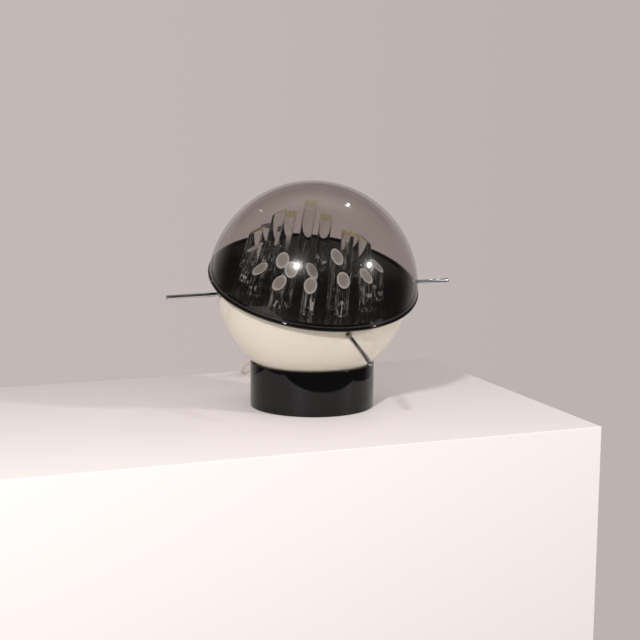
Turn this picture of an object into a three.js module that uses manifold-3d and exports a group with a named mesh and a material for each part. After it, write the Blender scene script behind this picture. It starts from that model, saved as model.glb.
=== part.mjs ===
import * as THREE from 'three';
import { mergeVertices } from 'three/addons/utils/BufferGeometryUtils.js';
import Module from 'manifold-3d';

// A globe table lamp. A smoked clear dome closes over a bundle of clear rods that stand on a
// glossy black dish, and the dish covers an ivory bowl with the bulb in it. The whole globe
// lies tilted in an open black ring, as a ball lies in a cup, and three chromed rods stick out
// under its rim. Lengths are millimetres and angles degrees. +Z is up, the lamp faces -Y, and
// the origin is the centre of the base's underside.

const wasm = await Module();
wasm.setup();

// Clearances
const SEAT_GAP = 0.3;
const FIT_GAP = 0.3;
const CUT_OVERRUN = 4;
const WELD_DISTANCE = 0.0001;

// Base: an open ring with a plate let into its underside
const RING_RADIUS = 89;
const RING_WALL = 4;
const RING_HEIGHT = 63.5;
const RING_EDGE = 0.8;
const PLATE_THICKNESS = 4;

// Cord outlet in the ring's wall, and the tapered strain relief in it
const OUTLET_AZIMUTH = 118;
const OUTLET_HEIGHT = 44;
const RELIEF_NECK_RADIUS = 4.6;
const RELIEF_FLANGE_RADIUS = 7;
const RELIEF_FLANGE_THICKNESS = 1.5;
const RELIEF_TIP_RADIUS = 3;
const RELIEF_LENGTH = 22;

// Globe: its tilt, and the two half globes
const GLOBE_TILT = 19.7;
const GLOBE_TILT_AZIMUTH = -69.8;
const GLOBE_REST_CLEARANCE = 0.5;
const DOME_RADIUS = 150;
const DOME_WALL = 3.5;
const BOWL_RADIUS = 138;
const BOWL_WALL = 3.5;

// Black dish: a flange between the half globes, a lip that centres the dome, and a hollow floor
const FLANGE_RADIUS = 151;
const FLANGE_UNDERSIDE = 7;
const FLANGE_THICKNESS = 5;
const FLANGE_EDGE = 2;
const LIP_WIDTH = 3.5;
const LIP_RISE = 2.5;
const DISH_CURVE_RADIUS = 640;
const DISH_THICKNESS = 4;
const SKIRT_WALL = 5;
const SKIRT_DEPTH = 14;

// Clear rods: a round section with a slanted, frosted end
const CLEAR_RADIUS = 9;
// The tallest clear rod, as a share of the dome's inside radius
const CLEAR_TALLEST_SHARE = 0.785;
const CLEAR_TAIL = 6;
const CLEAR_CUT_ANGLE = 45;
// Each row: distance from the axis and height, as shares of the skirt's inside and of the tallest
// rod, then the azimuth and the turn of the slanted end away from straight outward, in degrees
const CLEAR_ROD_SHARES = [
  [0.438, 0.400, -157, 55],
  [0.625, 0.452, -119, 28],
  [0.766, 0.330, -148, 0],
  [0.805, 0.313, -121, 0],
  [0.445, 0.435, -97, 50],
  [0.719, 0.348, -95, 0],
  [0.508, 0.652, -64, 8],
  [0.734, 0.435, -65, -14],
  [0.758, 0.435, -40, 0],
  [0.734, 0.435, -13, 0],
  [0.758, 0.461, -172, -14],
  [0.430, 0.687, 32, 0],
  [0.391, 1.000, 113, -20],
  [0.625, 0.739, 128, -20],
  [0.625, 0.809, 149, 0],
  [0.844, 0.461, 138, -20],
  [0.797, 0.530, 163, 0],
  [0.508, 0.757, 81, 0],
  [0.625, 0.574, 42, 0],
  [0.625, 0.600, 22, 0],
];

// Chromed rods: a rod with a thinner shank that a nut holds inside the skirt
const CHROME_RADIUS = 3;
const CHROME_REACH = 217;
const CHROME_TIP_EDGE = 0.5;
const CHROME_FRONT_AZIMUTH = -68.6;
const SHANK_RADIUS = 2;
const SHANK_END_LENGTH = 1.5;
const BUSH_FLANGE_RADIUS = 4.5;
const BUSH_FLANGE_THICKNESS = 1.5;
const BUSH_SLEEVE_WALL = 1;
const NUT_RADIUS = 4;
const NUT_THICKNESS = 3.2;

// Threaded nipple through the bowl's pole, with what is screwed on it
const NIPPLE_RADIUS = 5;
const NIPPLE_BORE_RADIUS = 3.2;
const NIPPLE_TOP_LENGTH = 11;
const POLE_WASHER_RADIUS = 9;
const POLE_WASHER_THICKNESS = 1.5;
const POLE_NUT_RADIUS = 8;
const POLE_LAND_RADIUS = 9.5;
const POLE_NUT_THICKNESS = 4;
const GLAND_RADIUS = 6.5;
const GLAND_LENGTH = 8;
const GLAND_FLOOR = 4.5;

// Lampholder and bulb
const HOLDER_RADIUS = 19;
const HOLDER_WALL = 2.5;
const HOLDER_NECK_RADIUS = 11;
const HOLDER_CONE_HEIGHT = 8.7;
const HOLDER_CAP_HEIGHT = 17.5;
const HOLDER_SHELL_HEIGHT = 32;
const HOLDER_CORE_HEIGHT = 9;
const HOLDER_CORE_RISE = 1.5;
const SCREW_SHELL_WALL = 0.8;
const SCREW_SHELL_HEIGHT = 19;
const BULB_CAP_RADIUS = 13.2;
const BULB_CAP_HEIGHT = 26;
const BULB_NECK_RADIUS = 11.5;
const BULB_RADIUS = 22.5;

// Mains cord and its coil
const CORD_RADIUS = 2.25;
const COIL_MEAN_RADIUS = 27;
const COIL_LOOPS = 6.5;
const COIL_LOOP_GAP = 0.5;
const COIL_CENTRE_X = 38;
const COIL_CENTRE_Y = 160;

// Switch on the cord: its middle on the surface, two shells, a rocker and a screw
const SWITCH_X = -20;
const SWITCH_Y = 250.5;
const SWITCH_LENGTH = 62;
const SWITCH_WIDTH = 27;
const SWITCH_CORNER_RADIUS = 9;
const SWITCH_LOWER_HEIGHT = 8.5;
const SWITCH_UPPER_HEIGHT = 9.2;
const SWITCH_WALL = 2;
const SWITCH_NOSE_RADIUS = 4;
const SWITCH_NOSE_TIP_RADIUS = 3.1;
const SWITCH_NOSE_LENGTH = 10;
const SWITCH_NOSE_RISE = 0.3;
const ROCKER_LENGTH = 18.4;
const ROCKER_WIDTH = 10.4;
const ROCKER_END_RISE = 5.2;
const ROCKER_MIDDLE_RISE = 3.6;
const ROCKER_BELOW = 2.5;
const ROCKER_PIVOT_DROP = 3.4;
const ROCKER_TILT = 10;
const ROCKER_SWING_CLEARANCE = 0.9;
const TRUNNION_RADIUS = 1.3;
const TRUNNION_LENGTH = 1.6;
const SWITCH_SCREW_RADIUS = 1.3;
const SWITCH_SCREW_HEAD_RADIUS = 2.8;
const SWITCH_SCREW_HEAD_HEIGHT = 1.6;
const SWITCH_SCREW_RECESS = 0.8;
const SWITCH_SCREW_OFFSET = 20;
const SWITCH_SCREW_BITE = 5;

// Plug: a flat body that tapers to the cord, and two pins
const PLUG_X = -56;
const PLUG_CORD_END_Y = 169.7;
const PLUG_WIDTH = 34;
const PLUG_SHOULDER = 16;
const PLUG_TAIL_WIDTH = 14;
const PLUG_LENGTH = 38;
const PLUG_THICKNESS = 13.5;
const PLUG_EDGE = 1.5;
const PLUG_RELIEF_RADIUS = 4.4;
const PLUG_RELIEF_TIP_RADIUS = 3;
const PLUG_RELIEF_LENGTH = 20;
const PIN_RADIUS = 2;
const PIN_LENGTH = 19;
const PIN_SPACING = 19;
const PIN_SOCKET_DEPTH = 6;
const PIN_TIP = 0.8;

// Counts of facets
const ROUND_SIDES = 40;
const SHELL_RINGS = 8;
const FLOOR_RINGS = 2;
const SMALL_SIDES = 16;
const CLEAR_SIDES = 16;
const CORD_SIDES = 8;
const LOOP_STEPS = 24;
const LOOP_SIDES = 6;
const HEX_SIDES = 6;

// Worked out from the sizes above
const radians = THREE.MathUtils.degToRad;
const ringInside = RING_RADIUS - RING_WALL;
const globeHeight = RING_HEIGHT + across(BOWL_RADIUS, ringInside) + GLOBE_REST_CLEARANCE;
const flangeTop = FLANGE_UNDERSIDE + FLANGE_THICKNESS;
const domeInside = DOME_RADIUS - DOME_WALL;
const clearTallest = CLEAR_TALLEST_SHARE * domeInside;
const domeFoot = flangeTop + SEAT_GAP;
const bowlInside = BOWL_RADIUS - BOWL_WALL;
const bowlMouth = FLANGE_UNDERSIDE - SEAT_GAP;
const poleLandHeight = -across(bowlInside, POLE_LAND_RADIUS);
const domeInsideLine = arc(domeInside, 0, Math.asin(domeFoot / domeInside), Math.PI / 2, SHELL_RINGS);
const lipOutside = distanceAt(domeInsideLine, flangeTop + LIP_RISE) - FIT_GAP;
const dishMouth = lipOutside - LIP_WIDTH;
const dishCurveCentre = flangeTop + across(DISH_CURVE_RADIUS, dishMouth);
const bowlInsideLine = arc(
  bowlInside,
  0,
  -Math.acos(POLE_LAND_RADIUS / bowlInside),
  Math.asin(bowlMouth / bowlInside),
  SHELL_RINGS,
);
const skirtOutside = distanceAt(bowlInsideLine, -SKIRT_DEPTH) - FIT_GAP;
const skirtInside = skirtOutside - SKIRT_WALL;
const skirtTop = floorHeight(skirtInside, DISH_THICKNESS) - SEAT_GAP;
const chromeHeight = (skirtTop - SKIRT_DEPTH) / 2;
const cordDiameter = 2 * CORD_RADIUS;

// The other short side of a right-angled triangle
function across(longSide, shortSide) {
  return Math.sqrt(longSide * longSide - shortSide * shortSide);
}

// A geometry as one closed skin: corners shared, slivers dropped, faces outward
function closed(geometry) {
  const bare = geometry.clone();
  bare.deleteAttribute('normal');
  bare.deleteAttribute('uv');
  const skin = mergeVertices(bare, WELD_DISTANCE);
  const corner = [new THREE.Vector3(), new THREE.Vector3(), new THREE.Vector3()];
  const faces = [];
  let volume = 0;
  for (let i = 0; i < skin.index.count; i += 3) {
    const face = [0, 1, 2].map((k) => skin.index.getX(i + k));
    if (new Set(face).size < 3) continue;
    face.forEach((at, k) => corner[k].fromBufferAttribute(skin.attributes.position, at));
    volume += corner[0].dot(corner[1].cross(corner[2]));
    faces.push(face);
  }
  skin.setIndex(faces.flatMap((face) => (volume < 0 ? face.reverse() : face)));
  return skin;
}

function solid(geometry) {
  const skin = closed(geometry);
  return new wasm.Manifold(new wasm.Mesh({
    numProp: 3,
    vertProperties: new Float32Array(skin.attributes.position.array),
    triVerts: new Uint32Array(skin.index.array),
  }));
}

function skinOf(body) {
  const mesh = body.getMesh();
  const geometry = new THREE.BufferGeometry();
  geometry.setAttribute('position', new THREE.BufferAttribute(mesh.vertProperties, 3));
  geometry.setIndex(new THREE.BufferAttribute(mesh.triVerts, 1));
  return geometry;
}

function cut(geometry, ...tools) {
  return skinOf(tools.reduce((body, tool) => body.subtract(solid(tool)), solid(geometry)));
}

function join(geometry, ...others) {
  return skinOf(others.reduce((body, other) => body.add(solid(other)), solid(geometry)));
}

// A shape turned about the Z axis, from its outline as distances from the axis and heights
function turned(outline, sides) {
  const points = outline.map(([radius, height]) => new THREE.Vector2(radius, height));
  return new THREE.LatheGeometry(points, sides).rotateX(Math.PI / 2);
}

// A turned shape whose outline comes back to its first point
function turnedRing(outline, sides) {
  return turned([...outline, outline[0]], sides);
}

function disc(radius, from, to, sides = SMALL_SIDES) {
  const height = to - from;
  return new THREE.CylinderGeometry(radius, radius, height, sides)
    .rotateX(Math.PI / 2)
    .translate(0, 0, from + height / 2);
}

function box(width, depth, height, x, y, bottom) {
  return new THREE.BoxGeometry(width, depth, height).translate(x, y, bottom + height / 2);
}

// Points of an arc about a centre on the axis, between two angles above the level, in radians
function arc(radius, centreHeight, start, end, count) {
  return Array.from({ length: count + 1 }, (_, i) => {
    const angle = start + ((end - start) * i) / count;
    return [radius * Math.cos(angle), centreHeight + radius * Math.sin(angle)];
  });
}

// Distance from the axis of an outline that rises along its points, at a height
function distanceAt(line, height) {
  const i = line.findIndex((point) => point[1] > height);
  const [below, above] = [line[i - 1], line[i]];
  return THREE.MathUtils.mapLinear(height, below[1], above[1], below[0], above[0]);
}

// A shape made along +Z, laid so that it runs outward at an azimuth and a height
function outward(geometry, azimuth, height) {
  return geometry.rotateY(Math.PI / 2).rotateZ(radians(azimuth)).translate(0, 0, height);
}

// The flat outline of a bar with round corners
function roundedOutline(length, width, corner) {
  const x = length / 2;
  const y = width / 2;
  const shape = new THREE.Shape();
  shape.moveTo(corner - x, -y);
  shape.lineTo(x - corner, -y);
  shape.absarc(x - corner, corner - y, corner, -Math.PI / 2, 0);
  shape.lineTo(x, y - corner);
  shape.absarc(x - corner, y - corner, corner, 0, Math.PI / 2);
  shape.lineTo(corner - x, y);
  shape.absarc(corner - x, y - corner, corner, Math.PI / 2, Math.PI);
  shape.lineTo(-x, corner - y);
  shape.absarc(corner - x, corner - y, corner, Math.PI, 1.5 * Math.PI);
  return shape;
}

function slab(shape, depth, bottom) {
  return new THREE.ExtrudeGeometry(shape, { depth, bevelEnabled: false, curveSegments: 5 })
    .translate(0, 0, bottom);
}

// A round cord along a list of points
function cordAlong(points, steps) {
  const corners = Array.from({ length: CORD_SIDES }, (_, i) => {
    const angle = ((i + 0.5) * 2 * Math.PI) / CORD_SIDES;
    return new THREE.Vector2(CORD_RADIUS * Math.cos(angle), CORD_RADIUS * Math.sin(angle));
  });
  const extrudePath = new THREE.CatmullRomCurve3(points, false, 'centripetal');
  return new THREE.ExtrudeGeometry(new THREE.Shape(corners), { steps, extrudePath });
}

const lamp = new THREE.Group();
const globe = new THREE.Group();
const globeAxis = new THREE.Vector3(
  Math.sin(radians(GLOBE_TILT)) * Math.cos(radians(GLOBE_TILT_AZIMUTH)),
  Math.sin(radians(GLOBE_TILT)) * Math.sin(radians(GLOBE_TILT_AZIMUTH)),
  Math.cos(radians(GLOBE_TILT)),
);
lamp.add(globe);
placeGlobe();

// The globe's own frame: origin at the middle of its sphere, Z along its axis, X to the right
function placeGlobe() {
  const right = new THREE.Vector3(1, 0, 0).addScaledVector(globeAxis, -globeAxis.x).normalize();
  const back = new THREE.Vector3().crossVectors(globeAxis, right);
  globe.quaternion.setFromRotationMatrix(new THREE.Matrix4().makeBasis(right, back, globeAxis));
  globe.position.set(0, 0, globeHeight);
}

// Adds one named piece to the lamp or to its globe
function piece(name, geometry, finish, parent = lamp) {
  const mesh = new THREE.Mesh(closed(geometry), new THREE.MeshStandardMaterial(finish));
  mesh.name = name;
  parent.add(mesh);
  return mesh;
}

const finishes = {
  blackGloss: { color: 0x0d0c0c, roughness: 0.08, metalness: 0 },
  ivory: { color: 0xe6dac8, roughness: 0.2, metalness: 0 },
  smoked: { color: 0x8a8078, roughness: 0.03, metalness: 0, transparent: true, opacity: 0.45 },
  clear: { color: 0xeef0ee, roughness: 0.04, metalness: 0, transparent: true, opacity: 0.35 },
  chrome: { color: 0xd6d6d8, roughness: 0.08, metalness: 1 },
  brass: { color: 0xb08a45, roughness: 0.3, metalness: 1 },
  zinc: { color: 0xa9aaa8, roughness: 0.4, metalness: 1 },
  bakelite: { color: 0x16120f, roughness: 0.35, metalness: 0 },
  ceramic: { color: 0xece7dc, roughness: 0.35, metalness: 0 },
  bulbGlass: { color: 0xf6f2ea, roughness: 0.3, metalness: 0, transparent: true, opacity: 0.8 },
  cordSkin: { color: 0xd9c9b0, roughness: 0.3, metalness: 0, transparent: true, opacity: 0.8 },
  whitePlastic: { color: 0xe9e5da, roughness: 0.4, metalness: 0 },
};

// The base ring, with bevelled edges and a hole for the cord's strain relief
function baseRing() {
  const wall = turnedRing([
    [RING_RADIUS - RING_EDGE, 0],
    [RING_RADIUS, RING_EDGE],
    [RING_RADIUS, RING_HEIGHT - RING_EDGE],
    [RING_RADIUS - RING_EDGE, RING_HEIGHT],
    [ringInside, RING_HEIGHT],
    [ringInside, 0],
  ], ROUND_SIDES);
  const drill = disc(RELIEF_NECK_RADIUS + FIT_GAP, ringInside - CUT_OVERRUN, RING_RADIUS + CUT_OVERRUN);
  piece('base_ring', cut(wall, outward(drill, OUTLET_AZIMUTH, OUTLET_HEIGHT)), finishes.blackGloss);
}

function basePlate() {
  const plate = disc(ringInside - FIT_GAP, 0, PLATE_THICKNESS, ROUND_SIDES);
  piece('base_plate', plate, finishes.blackGloss);
}

// Where the strain relief's flanges lie flat against the ring's round wall
const reliefInnerFace = across(ringInside, RELIEF_FLANGE_RADIUS) * Math.cos(Math.PI / ROUND_SIDES) - SEAT_GAP;
const reliefOuterFace = RING_RADIUS + SEAT_GAP;
const reliefStart = reliefInnerFace - RELIEF_FLANGE_THICKNESS;
const reliefShoulder = reliefOuterFace + RELIEF_FLANGE_THICKNESS;
const reliefEnd = reliefShoulder + RELIEF_LENGTH;

function strainRelief() {
  const shape = turned([
    [0, reliefStart],
    [RELIEF_FLANGE_RADIUS, reliefStart],
    [RELIEF_FLANGE_RADIUS, reliefInnerFace],
    [RELIEF_NECK_RADIUS, reliefInnerFace],
    [RELIEF_NECK_RADIUS, reliefOuterFace],
    [RELIEF_FLANGE_RADIUS, reliefOuterFace],
    [RELIEF_FLANGE_RADIUS, reliefShoulder],
    [RELIEF_NECK_RADIUS, reliefShoulder],
    [RELIEF_TIP_RADIUS, reliefEnd],
    [0, reliefEnd],
  ], SMALL_SIDES);
  piece('strain_relief', outward(shape, OUTLET_AZIMUTH, OUTLET_HEIGHT), finishes.cordSkin);
}

// A point outside or inside the cord outlet, at a distance from the ring's axis
function onOutletLine(distance) {
  const azimuth = radians(OUTLET_AZIMUTH);
  return new THREE.Vector3(distance * Math.cos(azimuth), distance * Math.sin(azimuth), OUTLET_HEIGHT);
}

// The ivory bowl, with holes for the chromed rods near its mouth and for the nipple at its pole
function ivoryBowl() {
  const shell = turnedRing([
    ...arc(BOWL_RADIUS, 0, Math.asin(bowlMouth / BOWL_RADIUS), -Math.PI / 2, SHELL_RINGS),
    [0, poleLandHeight],
    ...bowlInsideLine,
  ], ROUND_SIDES);
  const poleDrill = disc(NIPPLE_RADIUS + FIT_GAP, -BOWL_RADIUS - CUT_OVERRUN, CUT_OVERRUN - bowlInside);
  const rodDrills = chromeAzimuths.map((azimuth) => outward(
    disc(bushSleeveRadius + FIT_GAP, bowlInside - CUT_OVERRUN, BOWL_RADIUS + CUT_OVERRUN),
    azimuth,
    chromeHeight,
  ));
  piece('ivory_bowl', cut(shell, poleDrill, ...rodDrills), finishes.ivory, globe);
}

// The dome's shell, standing on the flange around the dish's lip
function smokedDome() {
  const shell = turnedRing([
    ...arc(DOME_RADIUS, 0, Math.asin(domeFoot / DOME_RADIUS), Math.PI / 2, SHELL_RINGS),
    ...domeInsideLine.toReversed(),
  ], ROUND_SIDES);
  piece('smoked_dome', shell, finishes.smoked, globe);
}

// Height of the dish's hollow floor, or of its underside, at a distance from the axis
function floorHeight(distance, thickness = 0) {
  return dishCurveCentre - across(DISH_CURVE_RADIUS + thickness, distance);
}

function floorLine(from, to, thickness) {
  return Array.from({ length: FLOOR_RINGS + 1 }, (_, i) => {
    const distance = from + ((to - from) * i) / FLOOR_RINGS;
    return [distance, floorHeight(distance, thickness)];
  });
}

function blackDish() {
  const edge = FLANGE_RADIUS - FLANGE_EDGE;
  const corner = FLANGE_EDGE * Math.SQRT1_2;
  const shell = turned([
    ...floorLine(0, dishMouth, 0),
    [dishMouth, flangeTop + LIP_RISE],
    [lipOutside, flangeTop + LIP_RISE],
    [lipOutside, flangeTop],
    [edge, flangeTop],
    [edge + corner, flangeTop - FLANGE_EDGE + corner],
    [FLANGE_RADIUS, flangeTop - FLANGE_EDGE],
    [FLANGE_RADIUS, FLANGE_UNDERSIDE + FLANGE_EDGE],
    [edge + corner, FLANGE_UNDERSIDE + FLANGE_EDGE - corner],
    [edge, FLANGE_UNDERSIDE],
    [skirtOutside, FLANGE_UNDERSIDE],
    ...floorLine(skirtOutside, 0, DISH_THICKNESS),
  ], ROUND_SIDES);
  const drills = clearRods.map(({ matrix }) => (
    disc(CLEAR_RADIUS + FIT_GAP, -DISH_THICKNESS - CUT_OVERRUN, CUT_OVERRUN, CLEAR_SIDES)
      .applyMatrix4(matrix)
  ));
  piece('black_dish', cut(shell, ...drills), finishes.blackGloss, globe);
}

// A ring under the dish that fits inside the bowl's mouth and takes the chromed rods
function dishSkirt() {
  const ring = turnedRing([
    [skirtInside, -SKIRT_DEPTH],
    [skirtOutside, -SKIRT_DEPTH],
    [skirtOutside, skirtTop],
    [skirtInside, skirtTop],
  ], ROUND_SIDES);
  const drills = chromeAzimuths.map((azimuth) => outward(
    disc(SHANK_RADIUS + FIT_GAP, skirtInside - CUT_OVERRUN, skirtOutside + CUT_OVERRUN),
    azimuth,
    chromeHeight,
  ));
  piece('dish_skirt', cut(ring, ...drills), finishes.blackGloss, globe);
}

// The clear rods stand square on the hollow floor, so they lean in towards the dome's top
const clearRods = CLEAR_ROD_SHARES.map(([distanceShare, heightShare, azimuth, cutTurn]) => {
  const distance = distanceShare * skirtInside;
  const place = new THREE.Object3D();
  place.position.set(
    distance * Math.cos(radians(azimuth)),
    distance * Math.sin(radians(azimuth)),
    floorHeight(distance),
  );
  place.rotation.set(0, -Math.asin(distance / DISH_CURVE_RADIUS), radians(azimuth), 'ZYX');
  place.updateMatrix();
  return { height: heightShare * clearTallest, cutTurn, matrix: place.matrix };
});

function clearRod({ height, cutTurn, matrix }, number) {
  const shape = disc(CLEAR_RADIUS, -DISH_THICKNESS - CLEAR_TAIL, height, CLEAR_SIDES);
  const turn = radians(cutTurn);
  const places = shape.attributes.position;
  for (let i = 0; i < places.count; i += 1) {
    if (places.getZ(i) < height - WELD_DISTANCE) continue;
    const outwardPart = places.getX(i) * Math.cos(turn) + places.getY(i) * Math.sin(turn);
    places.setZ(i, height - outwardPart * Math.tan(radians(CLEAR_CUT_ANGLE)));
  }
  const name = `clear_rod_${String(number + 1).padStart(2, '0')}`;
  const mesh = piece(name, shape, finishes.clear, globe);
  matrix.decompose(mesh.position, mesh.quaternion, mesh.scale);
}

// The chromed rods: right, front and left of the globe, a quarter turn apart
const chromeAzimuths = [90, 0, -90].map((turn) => CHROME_FRONT_AZIMUTH + turn);
const chromeSides = ['right', 'front', 'left'];
const bushSleeveRadius = SHANK_RADIUS + FIT_GAP + BUSH_SLEEVE_WALL;
const bushFace = BOWL_RADIUS + SEAT_GAP;
const chromeStart = bushFace + BUSH_FLANGE_THICKNESS + SEAT_GAP;
const nutFace = across(skirtInside, NUT_RADIUS) * Math.cos(Math.PI / ROUND_SIDES) - SEAT_GAP;
const shankStart = nutFace - NUT_THICKNESS - SHANK_END_LENGTH;

function chromeRod(azimuth, side) {
  const rod = turned([
    [0, shankStart],
    [SHANK_RADIUS, shankStart],
    [SHANK_RADIUS, chromeStart],
    [CHROME_RADIUS, chromeStart],
    [CHROME_RADIUS, CHROME_REACH - CHROME_TIP_EDGE],
    [CHROME_RADIUS - CHROME_TIP_EDGE, CHROME_REACH],
    [0, CHROME_REACH],
  ], SMALL_SIDES);
  piece(`chrome_rod_${side}`, outward(rod, azimuth, chromeHeight), finishes.chrome, globe);
}

function rodBush(azimuth, side) {
  const sleeveEnd = skirtOutside + SEAT_GAP + FIT_GAP;
  const bush = turnedRing([
    [SHANK_RADIUS + FIT_GAP, sleeveEnd],
    [bushSleeveRadius, sleeveEnd],
    [bushSleeveRadius, bushFace],
    [BUSH_FLANGE_RADIUS, bushFace],
    [BUSH_FLANGE_RADIUS, bushFace + BUSH_FLANGE_THICKNESS],
    [SHANK_RADIUS + FIT_GAP, bushFace + BUSH_FLANGE_THICKNESS],
  ], SMALL_SIDES);
  piece(`rod_bush_${side}`, outward(bush, azimuth, chromeHeight), finishes.brass, globe);
}

function rodNut(azimuth, side) {
  const hexagon = disc(NUT_RADIUS, nutFace - NUT_THICKNESS, nutFace, HEX_SIDES);
  const bore = disc(SHANK_RADIUS + FIT_GAP, nutFace - NUT_THICKNESS - CUT_OVERRUN, nutFace + CUT_OVERRUN);
  piece(`rod_nut_${side}`, outward(cut(hexagon, bore), azimuth, chromeHeight), finishes.brass, globe);
}

// The stack on the nipple: heights along the globe's axis, from the outside in
const washerTop = -BOWL_RADIUS - SEAT_GAP;
const outerNutTop = washerTop - POLE_WASHER_THICKNESS - SEAT_GAP;
const glandTop = outerNutTop - POLE_NUT_THICKNESS - SEAT_GAP;
const glandBottom = glandTop - GLAND_LENGTH;
const nippleBottom = glandBottom + GLAND_FLOOR;
const innerNutBottom = poleLandHeight + SEAT_GAP;
const holderBottom = innerNutBottom + POLE_NUT_THICKNESS + SEAT_GAP;
const nippleTop = holderBottom + NIPPLE_TOP_LENGTH;
const holderShellBottom = holderBottom + HOLDER_CAP_HEIGHT + SEAT_GAP;
const coreBottom = holderShellBottom + HOLDER_CORE_RISE;
const screwShellBottom = coreBottom + HOLDER_CORE_HEIGHT + SEAT_GAP;
const bulbCapBottom = screwShellBottom + SEAT_GAP;
const bulbGlassBottom = bulbCapBottom + BULB_CAP_HEIGHT + SEAT_GAP;

// A turned tube between two heights on the globe's axis
function axisTube(outside, inside, from, to) {
  return turnedRing([[inside, from], [outside, from], [outside, to], [inside, to]], SMALL_SIDES);
}

function poleNut(name, bottom) {
  const hexagon = disc(POLE_NUT_RADIUS, bottom, bottom + POLE_NUT_THICKNESS, HEX_SIDES);
  const bore = disc(NIPPLE_RADIUS + FIT_GAP, bottom - CUT_OVERRUN, bottom + POLE_NUT_THICKNESS + CUT_OVERRUN);
  piece(name, cut(hexagon, bore), finishes.brass, globe);
}

function nippleStack() {
  const bore = NIPPLE_RADIUS + FIT_GAP;
  piece('threaded_nipple', axisTube(NIPPLE_RADIUS, NIPPLE_BORE_RADIUS, nippleBottom, nippleTop), finishes.zinc, globe);
  const washer = axisTube(POLE_WASHER_RADIUS, bore, washerTop - POLE_WASHER_THICKNESS, washerTop);
  piece('pole_washer', washer, finishes.zinc, globe);
  poleNut('outer_pole_nut', outerNutTop - POLE_NUT_THICKNESS);
  poleNut('inner_pole_nut', innerNutBottom);
  const cordHole = CORD_RADIUS + FIT_GAP;
  const gland = turnedRing([
    [cordHole, glandBottom],
    [GLAND_RADIUS, glandBottom],
    [GLAND_RADIUS, glandTop],
    [bore, glandTop],
    [bore, nippleBottom - SEAT_GAP],
    [cordHole, nippleBottom - SEAT_GAP],
  ], SMALL_SIDES);
  piece('cord_gland', gland, finishes.whitePlastic, globe);
  const leadTop = nippleTop + CORD_RADIUS;
  piece('holder_lead', disc(CORD_RADIUS, glandBottom, leadTop, CORD_SIDES), finishes.cordSkin, globe);
}

function lampholder() {
  const inside = HOLDER_RADIUS - HOLDER_WALL;
  const bore = NIPPLE_RADIUS + FIT_GAP;
  const capTop = holderBottom + HOLDER_CAP_HEIGHT;
  const cap = turnedRing([
    [bore, holderBottom],
    [HOLDER_NECK_RADIUS, holderBottom],
    [HOLDER_RADIUS, holderBottom + HOLDER_CONE_HEIGHT],
    [HOLDER_RADIUS, capTop],
    [inside, capTop],
    [inside, holderBottom + HOLDER_CONE_HEIGHT + HOLDER_WALL / 2],
    [HOLDER_NECK_RADIUS - HOLDER_WALL / 2, holderBottom + HOLDER_WALL],
    [bore, holderBottom + HOLDER_WALL],
  ], SMALL_SIDES);
  piece('holder_cap', cap, finishes.bakelite, globe);
  const shell = axisTube(HOLDER_RADIUS, inside, holderShellBottom, holderShellBottom + HOLDER_SHELL_HEIGHT);
  piece('holder_shell', shell, finishes.bakelite, globe);
  const core = disc(inside - FIT_GAP, coreBottom, coreBottom + HOLDER_CORE_HEIGHT);
  piece('holder_core', core, finishes.ceramic, globe);
  const threadInside = BULB_CAP_RADIUS + FIT_GAP;
  const screwShell = axisTube(
    threadInside + SCREW_SHELL_WALL,
    threadInside,
    screwShellBottom,
    screwShellBottom + SCREW_SHELL_HEIGHT,
  );
  piece('screw_shell', screwShell, finishes.brass, globe);
}

function bulb() {
  const cap = disc(BULB_CAP_RADIUS, bulbCapBottom, bulbCapBottom + BULB_CAP_HEIGHT);
  piece('bulb_cap', cap, finishes.brass, globe);
  const neck = across(BULB_RADIUS, BULB_NECK_RADIUS);
  const glass = turned([
    [0, bulbGlassBottom],
    ...arc(BULB_RADIUS, bulbGlassBottom + neck, -Math.acos(BULB_NECK_RADIUS / BULB_RADIUS), Math.PI / 2, SHELL_RINGS),
  ], SMALL_SIDES);
  piece('bulb_glass', glass, finishes.bulbGlass, globe);
}

// Points of the cord's routes, chosen by hand
const vectors = (rows) => rows.map((row) => new THREE.Vector3(...row));
const INNER_LEAD_ROUTE = [
  [-18.5, 52, 19], [-14, 56.5, 12.5], [-4, 60, 8.2], [10, 61, 6.5], [26, 56, 6.5], [40, 45, 6.5],
  [50, 29, 6.5], [52, 10, 6.5], [46, -8, 6.5], [32, -20, 6.5], [14, -25, 6.5], [-5, -22, 6.5],
  [-22, -12, 6.5], [-34, 3, 7], [-38, 20, 9.5], [-36, 36, 15], [-33, 49, 23.5], [-32.5, 57.5, 32.5],
];
const ROUTE_TO_SWITCH = [
  [-57.5, 108, 43.8], [-64.5, 119.5, 42.5], [-74, 130.5, 39.8], [-84.5, 139.5, 35.8], [-92.5, 146.5, 32],
  [-97.5, 153, 29.5], [-102, 161, 26.3], [-105.8, 171, 21.3], [-108.6, 183, 15.6], [-110.4, 194.5, 10.6],
  [-111.4, 205, 6.6], [-111.2, 214, 3.9], [-109, 222.5, 2.6], [-104.5, 230, 2.25], [-98, 236.5, 2.25],
  [-90, 241.8, 2.25], [-82, 246, 2.4], [-74, 249.2, 3.4], [-66.5, 250.5, 4.3], [-61.3, 250.5, 4.3],
];
const ROUTE_TO_COIL = [
  [21.3, 250.5, 4.3], [26.5, 250.5, 4.3], [37.5, 249.7, 2.9], [49.5, 245.5, 2.25], [60, 237.8, 2.25],
  [67.8, 227, 2.25], [72, 213.5, 2.25], [73.1, 200, 2.25], [73.1, 183, 2.25], [73.1, 170, 2.25],
];
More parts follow.
